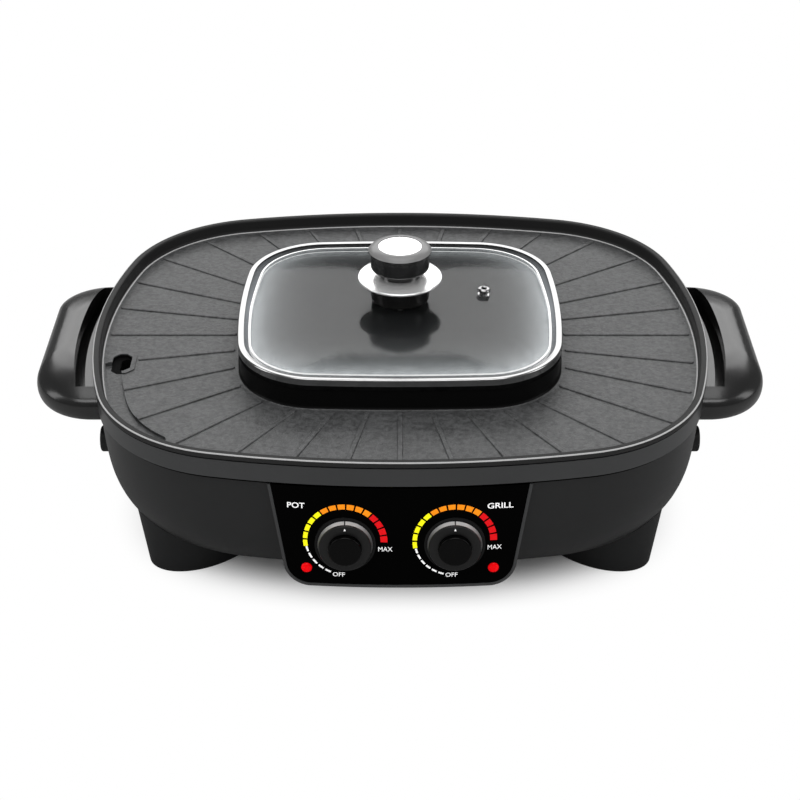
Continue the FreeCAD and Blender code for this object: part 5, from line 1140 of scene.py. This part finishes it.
heat_inks = (yellow_ink, orange_ink, red_ink)
dash_inks = (white_ink, white_ink, white_ink)
for which, x in (("pot", -DIAL_X), ("grill", DIAL_X)):
    values = scale_values(
        x, HEAT_BLOCKS, HEAT_FIRST, HEAT_PITCH, HEAT_FILL, HEAT_RADIUS, HEAT_WIDTHS,
        heat_inks, (FIRST_ORANGE, FIRST_RED),
    )
    mesh = scale_flow.run("heat_blocks_" + which, values)
    settle(mesh, "heat_scale_" + which, None, "base", PANEL_BOARD)
    dashes, dash_pitch = DASHES[which]
    values = scale_values(
        x, dashes, DASH_FIRST, -dash_pitch, DASH_FILL, DASH_RADIUS, DASH_WIDTHS,
        dash_inks, NO_CHANGES,
    )
    mesh = scale_flow.run("off_dashes_" + which, values)
    settle(mesh, "off_dashes_" + which, None, "base", PANEL_BOARD)

# %% [markdown]
# ## Pointers
#
# A small white triangle on each dial points at the scale. It turns with the dial, so it rides on
# the dial's body. It is a thin prism, made of its six corners.

# %% Pointers
POINTER_RADIUS = 15.1
POINTER_LENGTH = 1.7
POINTER_WIDTH = 1.5


def pointer(which, x):
    low = mm(DIAL_Z + POINTER_RADIUS - POINTER_LENGTH)
    high = mm(DIAL_Z + POINTER_RADIUS)
    half = mm(POINTER_WIDTH / 2)
    corners = ((mm(x) - half, low), (mm(x) + half, low), (mm(x), high))
    back = dial_face - mm(PRINT_LIFT)
    front = back - mm(PRINT_THICKNESS)
    vertices = [(a, depth, b) for depth in (front, back) for a, b in corners]
    faces = [(0, 1, 2), (5, 4, 3), (0, 3, 4, 1), (1, 4, 5, 2), (2, 5, 3, 0)]
    mesh = bpy.data.meshes.new("pointer_" + which)
    mesh.from_pydata(vertices, [], faces)
    return settle(mesh, "pointer_" + which, white_ink, which + "_dial", PANEL_BOARD)


pointer("pot", -DIAL_X)
pointer("grill", DIAL_X)

# %% [markdown]
# ## Words on the panel
#
# Only plain function words are printed: the two heating zones, MAX and OFF. Each word is a text
# curve, turned into a mesh and fitted to its width and height. All but the two MAX words are made a
# little bolder by their offset.

# %% Words
TEXT_EXTRUDE = 0.01
BOLD = 0.012
ZONE_Z = SCALE_Z + 25.4
ZONE_HEIGHT = 4.0
MAX_ASIDE = 25.4
MAX_Z = SCALE_Z - 5.0
MAX_SIZE = (9.0, 3.3)
OFF_Z = SCALE_Z - 24.6
OFF_SIZE = (7.8, 3.1)


def word(text, name, x, z, size, bolder):
    """A word about x and z on the board; its size is its width and height in millimetres."""
    curve = bpy.data.curves.new(name, "FONT")
    curve.body = text
    curve.size = 1.0
    curve.offset = bolder
    curve.extrude = TEXT_EXTRUDE
    curve.resolution_u = 4
    carrier = bpy.data.objects.new(name, curve)
    bpy.context.collection.objects.link(carrier)
    evaluated = carrier.evaluated_get(bpy.context.evaluated_depsgraph_get())
    mesh = bpy.data.meshes.new_from_object(evaluated)
    bpy.data.objects.remove(carrier)
    xs = [v.co.x for v in mesh.vertices]
    ys = [v.co.y for v in mesh.vertices]
    middle = Vector(((min(xs) + max(xs)) / 2, (min(ys) + max(ys)) / 2, 0.0))
    wide = mm(size[0]) / (max(xs) - min(xs))
    high = mm(size[1]) / (max(ys) - min(ys))
    thick = mm(PRINT_THICKNESS) / (2 * TEXT_EXTRUDE)
    fitted = Matrix.Diagonal((wide, high, thick, 1.0)) @ Matrix.Translation(-middle)
    upright = Matrix.Rotation(math.radians(90.0), 4, "X")
    slope = Matrix.Rotation(math.asin(x / PANEL_FACE_RADIUS), 4, "Z")
    depth = mm(face_y(x) - PRINT_LIFT - PRINT_THICKNESS / 2) + MIDDLE_Y
    spot = Matrix.Translation(Vector((mm(x), depth, mm(z))))
    matrix = PANEL_BOARD @ spot @ slope @ upright @ fitted
    return settle(mesh, name, white_ink, "base", matrix)


word("POT", "word_pot", -DIAL_X - 30.7, ZONE_Z, (11.1, ZONE_HEIGHT), BOLD)
word("GRILL", "word_grill", DIAL_X + 28.4, ZONE_Z, (16.5, ZONE_HEIGHT), BOLD)
word("MAX", "word_max_pot", -DIAL_X + MAX_ASIDE, MAX_Z, MAX_SIZE, 0.0)
word("MAX", "word_max_grill", DIAL_X + MAX_ASIDE, MAX_Z, MAX_SIZE, 0.0)
word("OFF", "word_off_pot", -DIAL_X - 4.4, OFF_Z, OFF_SIZE, BOLD)
word("OFF", "word_off_grill", DIAL_X - 1.8, OFF_Z, OFF_SIZE, BOLD)

# %% End
print("pieces ready")
